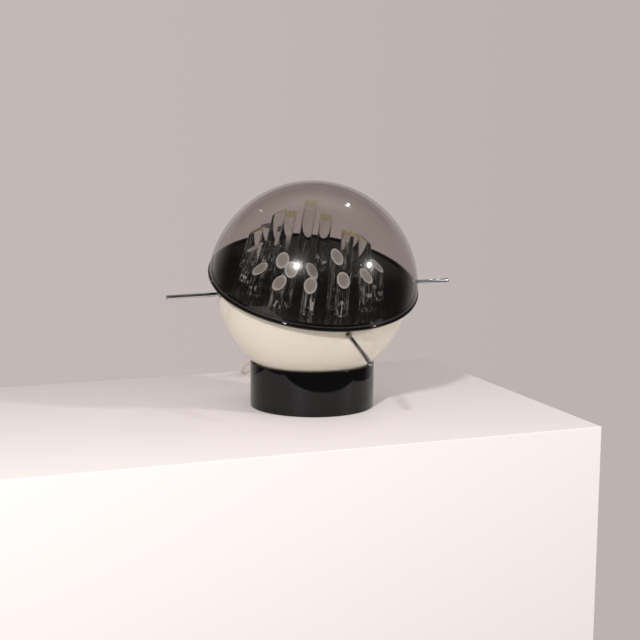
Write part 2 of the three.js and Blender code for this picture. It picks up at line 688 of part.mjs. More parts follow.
const ROUTE_TO_PLUG = [
  [2.9, 170, 7.25], [2.2, 179, 6.3], [-1.5, 191, 4.2], [-9.5, 201, 2.8], [-21, 206.5, 2.3],
  [-34, 205.5, 2.4], [-45.5, 199.5, 3.2], [-53, 189.5, 4.8], [-56, 179, 6.4], [-56, 174.5, 6.75],
];

function innerLead() {
  const start = new THREE.Vector3(0, 0, globeHeight)
    .addScaledVector(globeAxis, glandBottom - SEAT_GAP);
  const points = [
    start,
    start.clone().addScaledVector(globeAxis, -cordDiameter),
    ...vectors(INNER_LEAD_ROUTE),
    onOutletLine(reliefStart - SEAT_GAP - 2 * cordDiameter),
    onOutletLine(reliefStart - SEAT_GAP - cordDiameter),
    onOutletLine(reliefStart - SEAT_GAP),
  ];
  piece('inner_lead', cordAlong(points, 36), finishes.cordSkin);
}

function cordToSwitch() {
  const start = onOutletLine(reliefEnd + SEAT_GAP);
  piece('cord_to_switch', cordAlong([start, ...vectors(ROUTE_TO_SWITCH)], 48), finishes.cordSkin);
}

// The coil's loops spiral in on the surface and out again on top of themselves
const loopPitch = cordDiameter + COIL_LOOP_GAP;
const coilOutside = COIL_MEAN_RADIUS + (loopPitch * COIL_LOOPS) / 4;

function coilLine() {
  const steps = COIL_LOOPS * LOOP_STEPS;
  const loops = Array.from({ length: steps + 1 }, (_, i) => {
    const fromReversal = i / LOOP_STEPS - COIL_LOOPS / 2;
    const radius = coilOutside + loopPitch * (Math.abs(fromReversal) - COIL_LOOPS / 2);
    const climb = THREE.MathUtils.clamp(2 * fromReversal + 0.5, 0, 1);
    const angle = (-2 * Math.PI * i) / LOOP_STEPS;
    return new THREE.Vector3(
      COIL_CENTRE_X + radius * Math.cos(angle),
      COIL_CENTRE_Y + radius * Math.sin(angle),
      CORD_RADIUS + climb * loopPitch,
    );
  });
  const ahead = new THREE.Vector3(0, cordDiameter, 0);
  return [loops[0].clone().add(ahead), ...loops, loops[steps].clone().add(ahead)];
}

// One unbroken tube through the points of a line that stays nearly level
function levelTube(line, sides) {
  const up = new THREE.Vector3(0, 0, 1);
  const places = [];
  line.forEach((point, i) => {
    const before = line[Math.max(i - 1, 0)];
    const after = line[Math.min(i + 1, line.length - 1)];
    const along = after.clone().sub(before).normalize();
    const side = along.clone().cross(up).normalize();
    const top = side.clone().cross(along);
    for (let k = 0; k < sides; k += 1) {
      const angle = (2 * Math.PI * k) / sides;
      places.push(...point.clone()
        .addScaledVector(side, CORD_RADIUS * Math.cos(angle))
        .addScaledVector(top, CORD_RADIUS * Math.sin(angle)));
    }
  });
  const faces = [];
  for (let i = 0; i + 1 < line.length; i += 1) {
    for (let k = 0; k < sides; k += 1) {
      const [a, b] = [i * sides + k, i * sides + ((k + 1) % sides)];
      faces.push(a, b, b + sides, a, b + sides, a + sides);
    }
  }
  const last = (line.length - 1) * sides;
  for (let k = 1; k + 1 < sides; k += 1) {
    faces.push(0, k + 1, k, last, last + k, last + k + 1);
  }
  const geometry = new THREE.BufferGeometry();
  geometry.setAttribute('position', new THREE.Float32BufferAttribute(places, 3));
  geometry.setIndex(faces);
  return geometry;
}

// The least air between two loops of the coil, measured between points half a loop apart or more
function leastCoilGap(line) {
  let least = Infinity;
  for (let i = 0; i < line.length; i += 1) {
    for (let k = i + LOOP_STEPS / 2; k < line.length; k += 1) {
      least = Math.min(least, line[i].distanceTo(line[k]) - cordDiameter);
    }
  }
  return least;
}

function cordCoil() {
  const line = coilLine();
  console.log(`least gap between the coil's loops: ${leastCoilGap(line).toFixed(2)} mm`);
  piece('cord_coil', levelTube(line, LOOP_SIDES), finishes.cordSkin);
}

function cordToCoil() {
  const end = coilLine()[0].add(new THREE.Vector3(0, SEAT_GAP, 0));
  piece('cord_to_coil', cordAlong([...vectors(ROUTE_TO_COIL), end], 18), finishes.cordSkin);
}

function cordToPlug() {
  const start = coilLine().at(-1).add(new THREE.Vector3(0, SEAT_GAP, 0));
  const end = new THREE.Vector3(PLUG_X, PLUG_CORD_END_Y + SEAT_GAP, PLUG_THICKNESS / 2);
  piece('cord_to_plug', cordAlong([start, ...vectors(ROUTE_TO_PLUG), end], 18), finishes.cordSkin);
}

// The switch lies along X, and its shells meet a seat gap apart
const switchSplit = SWITCH_LOWER_HEIGHT + SEAT_GAP;
const switchTop = switchSplit + SWITCH_UPPER_HEIGHT;
const rockerPivot = switchTop - ROCKER_PIVOT_DROP;
const pocketLength = ROCKER_LENGTH + 2 * ROCKER_SWING_CLEARANCE;
const pocketWidth = ROCKER_WIDTH + 2 * FIT_GAP;
const noseHeight = SWITCH_NOSE_RADIUS + SWITCH_NOSE_RISE;

function placeOnSwitch(name, geometry, finish) {
  piece(name, geometry, finish).position.set(SWITCH_X, SWITCH_Y, 0);
}

function switchNose(direction) {
  const start = SWITCH_LENGTH / 2 - SWITCH_WALL / 2;
  const end = SWITCH_LENGTH / 2 + SWITCH_NOSE_LENGTH;
  const cone = turned([
    [0, start],
    [SWITCH_NOSE_RADIUS, start],
    [SWITCH_NOSE_TIP_RADIUS, end],
    [0, end],
  ], SMALL_SIDES);
  return outward(cone, direction, noseHeight);
}

function switchShells() {
  const outline = roundedOutline(SWITCH_LENGTH, SWITCH_WIDTH, SWITCH_CORNER_RADIUS);
  const chamberEnd = SWITCH_WALL - SWITCH_LENGTH / 2 + SWITCH_CORNER_RADIUS / 2;
  const chamberWidth = SWITCH_WIDTH - 2 * SWITCH_WALL - SWITCH_CORNER_RADIUS / 2;
  const chamber = (from, to, bottom, height) => (
    box(to - from, chamberWidth, height, (from + to) / 2, 0, bottom)
  );
  const lower = cut(
    join(slab(outline, SWITCH_LOWER_HEIGHT, 0), switchNose(0), switchNose(180)),
    chamber(chamberEnd, pocketLength / 2, SWITCH_WALL, SWITCH_LOWER_HEIGHT),
    disc(SWITCH_SCREW_RADIUS + FIT_GAP, -CUT_OVERRUN, switchTop).translate(SWITCH_SCREW_OFFSET, 0, 0),
    disc(SWITCH_SCREW_HEAD_RADIUS + FIT_GAP, -CUT_OVERRUN, screwHeadTop + FIT_GAP)
      .translate(SWITCH_SCREW_OFFSET, 0, 0),
  );
  placeOnSwitch('switch_lower_shell', lower, finishes.whitePlastic);
  const trunnionHole = disc(
    TRUNNION_RADIUS + FIT_GAP,
    -pocketWidth / 2 - TRUNNION_LENGTH,
    pocketWidth / 2 + TRUNNION_LENGTH,
    SMALL_SIDES,
  ).rotateX(Math.PI / 2).translate(0, 0, rockerPivot);
  const upper = cut(
    slab(outline, SWITCH_UPPER_HEIGHT, switchSplit),
    chamber(chamberEnd, -pocketLength / 2 - SWITCH_WALL, switchSplit - CUT_OVERRUN,
      SWITCH_UPPER_HEIGHT - SWITCH_WALL + CUT_OVERRUN),
    box(pocketLength, pocketWidth, SWITCH_UPPER_HEIGHT + 2 * CUT_OVERRUN, 0, 0, switchSplit - CUT_OVERRUN),
    trunnionHole,
    disc(SWITCH_SCREW_RADIUS + FIT_GAP, 0, screwTop + FIT_GAP).translate(SWITCH_SCREW_OFFSET, 0, 0),
  );
  placeOnSwitch('switch_upper_shell', upper, finishes.whitePlastic);
}

const screwHeadTop = SWITCH_SCREW_RECESS + SWITCH_SCREW_HEAD_HEIGHT;
const screwTop = switchSplit + SWITCH_SCREW_BITE;

function switchScrew() {
  const screw = turned([
    [0, SWITCH_SCREW_RECESS],
    [SWITCH_SCREW_HEAD_RADIUS, SWITCH_SCREW_RECESS],
    [SWITCH_SCREW_HEAD_RADIUS, screwHeadTop],
    [SWITCH_SCREW_RADIUS, screwHeadTop],
    [SWITCH_SCREW_RADIUS, screwTop],
    [0, screwTop],
  ], SMALL_SIDES);
  placeOnSwitch('switch_screw', screw.translate(SWITCH_SCREW_OFFSET, 0, 0), finishes.zinc);
}

// The rocker turns on two trunnions, and rests pressed down at one end
function switchRocker() {
  const end = ROCKER_LENGTH / 2;
  const side = new THREE.Shape([
    new THREE.Vector2(-end, -ROCKER_BELOW),
    new THREE.Vector2(end, -ROCKER_BELOW),
    new THREE.Vector2(end, ROCKER_END_RISE),
    new THREE.Vector2(0, ROCKER_MIDDLE_RISE),
    new THREE.Vector2(-end, ROCKER_END_RISE),
  ]);
  const blade = slab(side, ROCKER_WIDTH, -ROCKER_WIDTH / 2).rotateX(Math.PI / 2);
  const reach = ROCKER_WIDTH / 2 + TRUNNION_LENGTH;
  const trunnions = disc(TRUNNION_RADIUS, -reach, reach).rotateX(Math.PI / 2);
  const rocker = join(blade, trunnions).rotateY(radians(ROCKER_TILT)).translate(0, 0, rockerPivot);
  placeOnSwitch('switch_rocker', rocker, finishes.whitePlastic);
}

// The plug points to -Y: its cord end is its origin
function placeOnPlug(name, geometry, finish) {
  piece(name, geometry, finish).position.set(PLUG_X, PLUG_CORD_END_Y, 0);
}

function plug() {
  const front = -PLUG_RELIEF_LENGTH - PLUG_LENGTH;
  const tail = -PLUG_RELIEF_LENGTH;
  const outline = new THREE.Shape([
    new THREE.Vector2(-PLUG_WIDTH / 2 + PLUG_EDGE, front),
    new THREE.Vector2(PLUG_WIDTH / 2 - PLUG_EDGE, front),
    new THREE.Vector2(PLUG_WIDTH / 2, front + PLUG_EDGE),
    new THREE.Vector2(PLUG_WIDTH / 2, front + PLUG_SHOULDER),
    new THREE.Vector2(PLUG_TAIL_WIDTH / 2, tail),
    new THREE.Vector2(-PLUG_TAIL_WIDTH / 2, tail),
    new THREE.Vector2(-PLUG_WIDTH / 2, front + PLUG_SHOULDER),
    new THREE.Vector2(-PLUG_WIDTH / 2, front + PLUG_EDGE),
  ]);
  const middle = PLUG_THICKNESS / 2;
  const relief = turned([
    [0, -PLUG_EDGE],
    [PLUG_RELIEF_RADIUS, -PLUG_EDGE],
    [PLUG_RELIEF_TIP_RADIUS, PLUG_RELIEF_LENGTH],
    [0, PLUG_RELIEF_LENGTH],
  ], SMALL_SIDES).rotateX(-Math.PI / 2).translate(0, tail, middle);
  const pinPlaces = [-PIN_SPACING / 2, PIN_SPACING / 2];
  const sockets = pinPlaces.map((x) => (
    disc(PIN_RADIUS + FIT_GAP, -PIN_SOCKET_DEPTH, CUT_OVERRUN).rotateX(Math.PI / 2).translate(x, front, middle)
  ));
  const body = cut(join(slab(outline, PLUG_THICKNESS, 0), relief), ...sockets);
  placeOnPlug('plug_body', body, finishes.whitePlastic);
  const pin = turned([
    [0, SEAT_GAP - PIN_SOCKET_DEPTH],
    [PIN_RADIUS, SEAT_GAP - PIN_SOCKET_DEPTH],
    [PIN_RADIUS, PIN_LENGTH - PIN_TIP],
    [PIN_RADIUS - PIN_TIP, PIN_LENGTH],
    [0, PIN_LENGTH],
  ], SMALL_SIDES).rotateX(Math.PI / 2);
  ['left', 'right'].forEach((side, i) => {
    placeOnPlug(`plug_pin_${side}`, pin.clone().translate(pinPlaces[i], front, middle), finishes.chrome);
  });
}

baseRing();
basePlate();
strainRelief();
ivoryBowl();
blackDish();
dishSkirt();
smokedDome();
clearRods.forEach(clearRod);
chromeAzimuths.forEach((azimuth, i) => {
  chromeRod(azimuth, chromeSides[i]);
  rodBush(azimuth, chromeSides[i]);
  rodNut(azimuth, chromeSides[i]);
});
nippleStack();
lampholder();
bulb();
innerLead();
cordToSwitch();
cordToCoil();
cordCoil();
cordToPlug();
switchShells();
switchScrew();
switchRocker();
plug();

export default lamp;
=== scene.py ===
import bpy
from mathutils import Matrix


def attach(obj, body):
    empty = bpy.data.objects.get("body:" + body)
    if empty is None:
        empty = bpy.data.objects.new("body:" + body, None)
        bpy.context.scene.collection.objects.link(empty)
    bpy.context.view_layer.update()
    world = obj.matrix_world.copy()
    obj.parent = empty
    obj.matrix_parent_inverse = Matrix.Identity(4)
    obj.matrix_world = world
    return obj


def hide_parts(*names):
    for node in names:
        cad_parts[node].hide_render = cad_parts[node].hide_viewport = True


bl_info = {
    "name": "Tilted Globe Lamp",
    "version": (1, 0, 0),
    "blender": (4, 5, 0),
    "location": "View3D > Sidebar > Globe Lamp",
    "description": "Finishes the packed globe table lamp and sets up its studio",
    "category": "Object",
}

import math

import bmesh
import bpy
from bpy.props import FloatProperty, FloatVectorProperty, IntProperty, PointerProperty
from bpy.types import Operator, Panel, PropertyGroup
from mathutils import Matrix, Vector

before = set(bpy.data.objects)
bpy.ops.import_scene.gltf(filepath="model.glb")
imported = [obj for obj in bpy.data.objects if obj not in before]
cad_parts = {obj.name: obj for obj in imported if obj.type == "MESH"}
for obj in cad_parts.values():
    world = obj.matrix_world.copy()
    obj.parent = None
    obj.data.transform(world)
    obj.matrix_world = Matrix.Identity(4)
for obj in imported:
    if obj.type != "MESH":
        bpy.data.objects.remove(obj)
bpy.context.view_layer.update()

# Gaps in metres: between pieces that touch, around what fills a hole, and around what slips on
SEAT = 0.0003
FIT = 0.0003
SLIP = 0.0008
# How far a drill reaches past the wall that it cuts
PAST = 0.004
# The CAD solids' small round pieces have this many flat sides
CAD_SIDES = 40


def length(name, default, description):
    return FloatProperty(
        name=name, default=default, min=0.0, precision=4, unit="LENGTH", description=description
    )


def angle(name, degrees, description):
    return FloatProperty(
        name=name, default=math.radians(degrees), subtype="ANGLE", description=description
    )


def colour(name, default, description):
    return FloatVectorProperty(
        name=name, default=default, size=3, min=0.0, max=1.0, subtype="COLOR",
        description=description,
    )


def share(name, default, description):
    return FloatProperty(name=name, default=default, min=0.0, description=description)


class LampSizes(PropertyGroup):
    """Sizes of the lamp's main pieces."""

    ring_radius: length("Ring radius", 0.089, "Outside radius of the base ring")
    ring_wall: length("Ring wall", 0.004, "Wall of the base ring")
    ring_height: length("Ring height", 0.0635, "Height of the base ring")
    plate_thickness: length("Plate thickness", 0.004, "Thickness of the plate in the ring")
    globe_tilt: angle("Globe tilt", 19.7, "Tilt of the globe's axis from upright")
    tilt_azimuth: angle("Tilt azimuth", -69.8, "Direction that the globe leans towards")
    globe_height: length("Globe height", 0.172715, "Height of the middle of the globe")
    dome_radius: length("Dome radius", 0.150, "Outside radius of the smoked dome")
    dome_wall: length("Dome wall", 0.0035, "Wall of the smoked dome")
    bowl_radius: length("Bowl radius", 0.138, "Outside radius of the ivory bowl")
    bowl_wall: length("Bowl wall", 0.0035, "Wall of the ivory bowl")
    flange_radius: length("Flange radius", 0.151, "Outside radius of the dish's flange")
    flange_low: length("Flange underside", 0.007, "Height of the flange's underside on the axis")
    flange_high: length("Flange top", 0.012, "Height of the flange's top on the axis")
    lip_rise: length("Lip rise", 0.0025, "Height of the lip that centres the dome")
    lip_width: length("Lip width", 0.0035, "Width of that lip")
    dish_curve: length("Dish curve radius", 0.640, "Radius of the dish's hollow floor")
    dish_thickness: length("Dish thickness", 0.004, "Thickness of the dish's floor")
    skirt_wall: length("Skirt wall", 0.005, "Wall of the ring under the dish")
    skirt_depth: length("Skirt depth", 0.014, "How far the skirt reaches below the globe's middle")
    clear_radius: length("Clear rod radius", 0.009, "Radius of the clear rods")
    clear_tail: length("Clear rod tail", 0.010, "How far a clear rod reaches below the floor")
    clear_tallest: length("Tallest clear rod", 0.115, "Height of the tallest clear rod")
    clear_cut: angle("Slant", 45.0, "Slant of the clear rods' ends")
    chrome_radius: length("Chromed rod radius", 0.003, "Radius of the chromed rods")
    chrome_reach: length("Chromed rod reach", 0.217, "Distance of their tips from the axis")
    chrome_azimuth: angle("First chromed rod", -68.6, "Azimuth of the front chromed rod")
    cord_diameter: length("Cord diameter", 0.0045, "Outside diameter of the mains cord")
    coil_radius: length("Coil radius", 0.027, "Middle radius of the coil's loops")


class LampFinishes(PropertyGroup):
    """Colours of the lamp's finishes."""

    black: colour("Black acrylic", (0.0026, 0.0026, 0.0027), "Base ring, dish and skirt")
    ivory: colour("Ivory acrylic", (0.745, 0.668, 0.566), "Opal bowl")
    smoke: colour("Smoke", (0.855, 0.835, 0.825), "What one skin of the dome lets through")
    frosted: colour("Frosted ends", (0.55, 0.51, 0.48), "Sawn ends of the clear rods")
    # Paler, yellower sawn ends of the rods behind: painted light that comes through them
    aged: colour("Aged ends", (1.0, 0.91, 0.56), "Paler sawn ends behind, painted backlight")
    chrome: colour("Chrome", (0.58, 0.58, 0.59), "Chromed rods and plug pins")
    brass: colour("Brass", (0.42, 0.34, 0.20), "Bushes, nuts and lampholder thread")
    zinc: colour("Zinc", (0.52, 0.53, 0.53), "Nipple, washer and screw")
    phenolic: colour("Black moulding", (0.020, 0.016, 0.014), "Lampholder")
    porcelain: colour("Porcelain", (0.80, 0.78, 0.72), "Lampholder's core")
    moulding: colour("Off-white moulding", (0.76, 0.73, 0.66), "Switch, plug and gland")
    cord_skin: colour("Cord skin", (0.62, 0.56, 0.49), "Clear plastic of the cord")
    copper: colour("Copper", (0.52, 0.35, 0.24), "Strands that show through the cord's skin")


class LampStudio(PropertyGroup):
    """Camera, lights and floor."""

    lens: FloatProperty(name="Lens", default=85.0, min=1.0, description="Focal length in mm")
    camera_place: FloatVectorProperty(
        name="Camera place", default=(0.01087, -2.1418, 0.4665), subtype="TRANSLATION",
        unit="LENGTH", description="Where the camera stands",
    )
    camera_pitch: angle("Camera pitch", 9.11, "How far the camera looks down")
    camera_roll: angle("Camera roll", 0.52, "How far the camera leans")
    backdrop: colour("Backdrop", (0.520, 0.462, 0.450), "Plain wall behind the table")
    table: colour("Plinth", (0.86, 0.80, 0.785), "Plain paint of the plinth")
    ambient: share("Ambient light", 0.45, "Strength of the light from all round")
    key_power: share("Key power", 84.0, "Power of the front left lamp, in watts")
    side_power: share("Side power", 89.0, "Power of the right lamp, in watts")
    back_power: share("Back power", 2.6, "Power of the lamps behind, in watts")
    plinth_corner: FloatVectorProperty(
        name="Plinth corner", default=(0.197, 0.367), size=2, unit="LENGTH",
        description="Where the plinth's back right corner stands",
    )
    plinth_turn: angle("Plinth turn", 22.0, "How far the plinth is turned")
    plinth_depth: length("Plinth depth", 0.534, "Depth of the plinth")
    plinth_width: length("Plinth width", 1.0, "Width of the plinth")
    plinth_height: length("Plinth height", 0.9, "Height of the plinth")
    smooth_sides: IntProperty(
        name="Round sides", default=192, min=12, description="Sides of the large round pieces"
    )


def sizes_of(context):
    return context.scene.globe_lamp_sizes


def finishes_of(context):
    return context.scene.globe_lamp_finishes


def studio_of(context):
    return context.scene.globe_lamp_studio


def worked(operation, reflected=False):
    """One of Value's operators, which adds a Math node."""
    def result(self, other):
        terms = (other, self) if reflected else (self, other)
        return self.nodes.maths(operation, *terms)
    return result


class Value:
    """A node's output that Python's operators can work on."""

    __add__, __radd__ = worked("ADD"), worked("ADD", True)
    __sub__, __rsub__ = worked("SUBTRACT"), worked("SUBTRACT", True)
    __mul__, __truediv__ = worked("MULTIPLY"), worked("DIVIDE")
    __pow__ = worked("POWER")
    __gt__ = worked("GREATER_THAN")

    def __init__(self, nodes, socket):
        self.nodes = nodes
        self.socket = socket


class Nodes:
    """A node tree, whose node method makes and links one node of any type."""

    def __init__(self, tree):
        self.tree = tree

    def node(self, kind, sockets=None, out=0, **settings):
        made = self.tree.nodes.new(kind)
        for name, value in settings.items():
            setattr(made, name, value)
        for name, value in (sockets or {}).items():
            self.feed(made.inputs[name], value)
        return Value(self, made.outputs[out]) if len(made.outputs) else made

    def feed(self, socket, value):
        if isinstance(value, Value):
            self.tree.links.new(value.socket, socket)
        elif socket.type == "RGBA" and len(value) == 3:
            socket.default_value = (*value, 1.0)
        else:
            socket.default_value = value

    def other(self, value, name):
        """Another output of the node that a value comes from."""
        return Value(self, value.socket.node.outputs[name])

    def maths(self, operation, *terms):
        return self.node("ShaderNodeMath", dict(enumerate(terms)), operation=operation)

    def vectors(self, operation, first, second):
        return self.node("ShaderNodeVectorMath", {0: first, 1: second}, operation=operation)

    def parts(self, vector):
        x = self.node("ShaderNodeSeparateXYZ", {0: vector})
        return x, self.other(x, "Y"), self.other(x, "Z")

    def joined(self, x, y, z):
        return self.node("ShaderNodeCombineXYZ", {"X": x, "Y": y, "Z": z})

    def band(self, value, low, high):
        """0 at low, 1 at high and smooth between, also where high is the smaller."""
        return self.node(
            "ShaderNodeMapRange", {"Value": value, "From Min": low, "From Max": high},
            interpolation_type="SMOOTHSTEP",
        )

    def blend(self, factor, first, second):
        return self.node(
            "ShaderNodeMix", {0: factor, 6: first, 7: second}, out=2, data_type="RGBA"
        )

    def shade(self, factor, tone, change):
        """A tone that goes over to a lighter or darker one."""
        return self.blend(factor, tone, lighter(tone, change))

    def mixed(self, factor, first, second):
        return self.node("ShaderNodeMixShader", {0: factor, 1: first, 2: second})


class Finish(Nodes):
    """A material's node tree, with the patterns that several finishes share."""

    def __init__(self, name):
        self.material = bpy.data.materials.new(name)
        self.material.use_nodes = True
        self.material.node_tree.nodes.clear()
        super().__init__(self.material.node_tree)

    def noise(self, scale, detail=2.0, place=None):
        place = place or self.other(self.node("ShaderNodeTexCoord"), "Object")
        return self.node(
            "ShaderNodeTexNoise", {"Vector": place, "Scale": scale, "Detail": detail}
        )

    def attribute(self, name, out):
        return self.other(self.node("ShaderNodeAttribute", attribute_name=name), out)

    def graze(self):
        """0 where the surface is seen head on, 1 where it is seen edge on."""
        return self.node("ShaderNodeLayerWeight", {"Blend": 0.5}, out=1)

    def bump(self, height, distance):
        return self.node("ShaderNodeBump", {"Height": height, "Distance": distance})

    def surface(self, **sockets):
        named = {
            "IOR" if key == "ior" else key.replace("_", " ").title(): value
            for key, value in sockets.items()
        }
        return self.node("ShaderNodeBsdfPrincipled", named)

    def clear(self, tone):
        return self.node("ShaderNodeBsdfTransparent", {"Color": tone})

    def done(self, shader):
        self.node("ShaderNodeOutputMaterial", {"Surface": shader})
        return self.material


def lighter(tone, factor):
    return tuple(min(1.0, part * factor) for part in tone)


def finish(slot):
    """Keeps one material for each finish, and the CAD slot that it stands for."""
    def keep(make):
        def get():
            name = make.__name__.replace("_", " ").capitalize()
            material = bpy.data.materials.get(name)
            if material is None:
                f = Finish(name)
                material = f.done(make(f, finishes_of(bpy.context)))
            return material
        get.slot = slot
        return get
    return keep


@finish("black_acrylic")
def black_acrylic(f, tones):
    haze = f.band(f.noise(7.0, 4.0), 0.45, 0.8)
    dust = f.band(f.noise(950.0, 1.0), 0.74, 0.80)
    return f.surface(
        base_color=f.shade(dust * 0.25, tones.black, 6.0),
        roughness=0.035 + haze * 0.05 + dust * 0.25,
        ior=1.38,
        normal=f.bump(f.noise(38.0, 1.0), 0.00003),
    )


@finish("ivory_acrylic")
def ivory_acrylic(f, tones):
    cloud = f.noise(5.0, 3.0)
    scuff = f.band(f.noise(60.0, 4.0), 0.62, 0.8)
    return f.surface(
        base_color=f.shade(cloud, tones.ivory, 1.05),
        roughness=0.10 + cloud * 0.05 + scuff * 0.12,
        ior=1.49,
        normal=f.bump(f.noise(24.0, 1.0), 0.00004),
        subsurface_weight=0.7,
        subsurface_radius=(1.0, 0.85, 0.65),
        subsurface_scale=0.010,
    )


@finish("smoked_acrylic")
def smoked_acrylic(f, tones):
    """One skin of the dome, which clears and then darkens a little towards its outline."""
    graze = f.graze()
    through = f.clear(tones.smoke)
    for low, high, change in ((0.68, 0.85, 1.14), (0.76, 0.82, 0.92)):
        skin = f.clear(lighter(tones.smoke, change))
        through = f.mixed(f.band(graze, low, high), through, skin)
    scratches = f.band(f.noise(3200.0, 1.0), 0.52, 0.62)
    shine = f.node("ShaderNodeBsdfGlossy", {
        "Color": (0.9, 0.9, 0.9),
        "Roughness": 0.03 + scratches * 0.20,
        "Normal": f.bump(f.noise(9.0, 1.0), 0.00008),
    })
    return f.mixed(0.030 + graze ** 6.2 * 0.97, through, shine)


@finish("clear_acrylic")
def clear_acrylic(f, tones):
    """Drawn rod with fine streaks that lets the lamps through, with a pale layer of painted light.
    """
    skin = f.attribute("drawn", "Vector")
    streak = f.band(f.noise(1.0, 3.0, skin), 0.58, 0.68)
    solid = f.surface(
        base_color=(0.96, 0.965, 0.95),
        roughness=0.012 + streak * 0.3,
        ior=1.49,
        transmission_weight=1.0,
        normal=f.bump(f.noise(70.0, 1.0), 0.00005),
    )
    # Pale scattering layer: haze of the drawn streaks, plus painted light streaks and pale edges
    haze_and_painted_light = f.surface(base_color=(0.80, 0.81, 0.80), roughness=0.45)
    fine = f.vectors("MULTIPLY", skin, (1.3, 1.3, 8.0))
    near_foot = f.band(0.0 - f.attribute("up", "Fac"), -0.045, -0.006)
    # Painted glints: pale flecks near the foot
    glint = f.band(f.noise(1.0, 1.0, fine), 0.60, 0.68) * near_foot
    solid = f.mixed(streak * 0.13 + glint * 0.55 + f.graze() ** 3.0 * 0.14, solid, haze_and_painted_light)
    shadow = f.other(f.node("ShaderNodeLightPath"), "Is Shadow Ray")
    return f.mixed(shadow, solid, f.clear((0.88, 0.89, 0.87)))


@finish("clear_acrylic")
def frosted_acrylic(f, tones):
    """A sawn end with a paler rim."""
    grain = f.noise(2600.0, 2.0)
    rim = f.band(f.attribute("off_axis", "Fac"), 0.70, 0.84)
    tone = f.blend(rim, tones.frosted, (1.0, 0.97, 0.93))
    return f.surface(
        base_color=f.blend(f.band(grain, 0.35, 0.7) * 0.25, tone, (0.40, 0.38, 0.36)),
        roughness=0.5 + grain * 0.2,
        ior=1.49,
        transmission_weight=0.5,
        normal=f.bump(grain + f.noise(420.0, 1.0), 0.00008),
    )


@finish("clear_acrylic")
def aged_acrylic(f, tones):
    """Paler, yellower sawn ends for the rods behind: painted light that comes through them."""
    grain = f.noise(1800.0, 2.0)
    return f.surface(
        base_color=f.blend(f.band(grain, 0.3, 0.7) * 0.2, tones.aged, (0.62, 0.55, 0.33)),
        roughness=0.75 + grain * 0.2,
        ior=1.49,
        transmission_weight=0.9,
        normal=f.bump(grain, 0.00008),
    )


@finish("smoked_acrylic")
def sawn_edge(f, tones):
    """The dome's sawn foot."""
    grain = f.noise(1500.0, 2.0)
    return f.surface(
        base_color=f.blend(grain, (0.024, 0.020, 0.018), (0.045, 0.040, 0.036)),
        roughness=0.45 + grain * 0.2,
        ior=1.49,
        normal=f.bump(grain, 0.00005),
    )


@finish("chrome")
def chrome_plate(f, tones):
    mist = f.band(f.noise(130.0, 3.0), 0.5, 0.78)
    pits = f.band(f.noise(1500.0, 1.0), 0.77, 0.8)
    return f.surface(
        base_color=f.shade(pits * 0.5, tones.chrome, 0.35),
        roughness=0.22 + mist * 0.08 + pits * 0.3,
        metallic=1.0,
        normal=f.bump(f.noise(300.0, 1.0), 0.00001),
    )


@finish("brass")
def turned_brass(f, tones):
    tarnish = f.band(f.noise(240.0, 4.0), 0.4, 0.75)
    lathe = f.noise(1800.0, 1.0)
    return f.surface(
        base_color=f.shade(tarnish, tones.brass, 0.5),
        roughness=0.22 + tarnish * 0.25 + lathe * 0.08,
        metallic=1.0,
        normal=f.bump(lathe, 0.00002),
    )


@finish("zinc_steel")
def zinc_plate(f, tones):
    bloom = f.noise(300.0, 4.0)
    return f.surface(
        base_color=f.shade(f.band(bloom, 0.4, 0.7), tones.zinc, 0.7),
        roughness=0.3 + bloom * 0.25,
        metallic=1.0,
        normal=f.bump(bloom, 0.00003),
    )


@finish("zinc_steel")
def threaded_zinc(f, tones):
    """A thread of 1 mm pitch, from the map that runs round and along a turned piece."""
    around, climb, _ = f.parts(f.node("ShaderNodeUVMap"))
    bloom = f.noise(300.0, 3.0)
    return f.surface(
        base_color=f.shade(bloom, tones.zinc, 0.75),
        roughness=0.35 + bloom * 0.2,
        metallic=1.0,
        normal=f.bump(f.maths("SINE", (around + climb / 0.001) * (2.0 * math.pi)), 0.0002),
    )


@finish("black_phenolic")
def black_phenolic(f, tones):
    flow = f.noise(80.0, 5.0)
    return f.surface(
        base_color=f.shade(f.band(flow, 0.4, 0.75), tones.phenolic, 1.9),
        roughness=0.28 + flow * 0.2,
        normal=f.bump(f.noise(700.0, 2.0), 0.00002),
    )


@finish("porcelain")
def porcelain(f, tones):
    speck = f.band(f.noise(700.0, 2.0), 0.70, 0.76)
    return f.surface(
        base_color=f.blend(speck * 0.5, tones.porcelain, (0.45, 0.36, 0.26)),
        roughness=0.2 + f.noise(40.0, 2.0) * 0.15,
        normal=f.bump(f.noise(120.0, 2.0), 0.00005),
    )


@finish("bulb_glass")
def opal_glass(f, tones):
    milk = f.noise(30.0, 2.0)
    return f.surface(
        base_color=f.blend(milk, (0.90, 0.88, 0.83), (0.94, 0.93, 0.90)),
        roughness=0.12 + milk * 0.08,
        ior=1.5,
        normal=f.bump(f.noise(60.0, 1.0), 0.00003),
    )


@finish("white_plastic")
def off_white_moulding(f, tones):
    grain = f.noise(1400.0, 2.0)
    age = f.band(f.noise(22.0, 3.0), 0.35, 0.8)
    return f.surface(
        base_color=f.shade(age, tones.moulding, 0.92),
        roughness=0.32 + grain * 0.12,
        normal=f.bump(grain, 0.00003),
    )


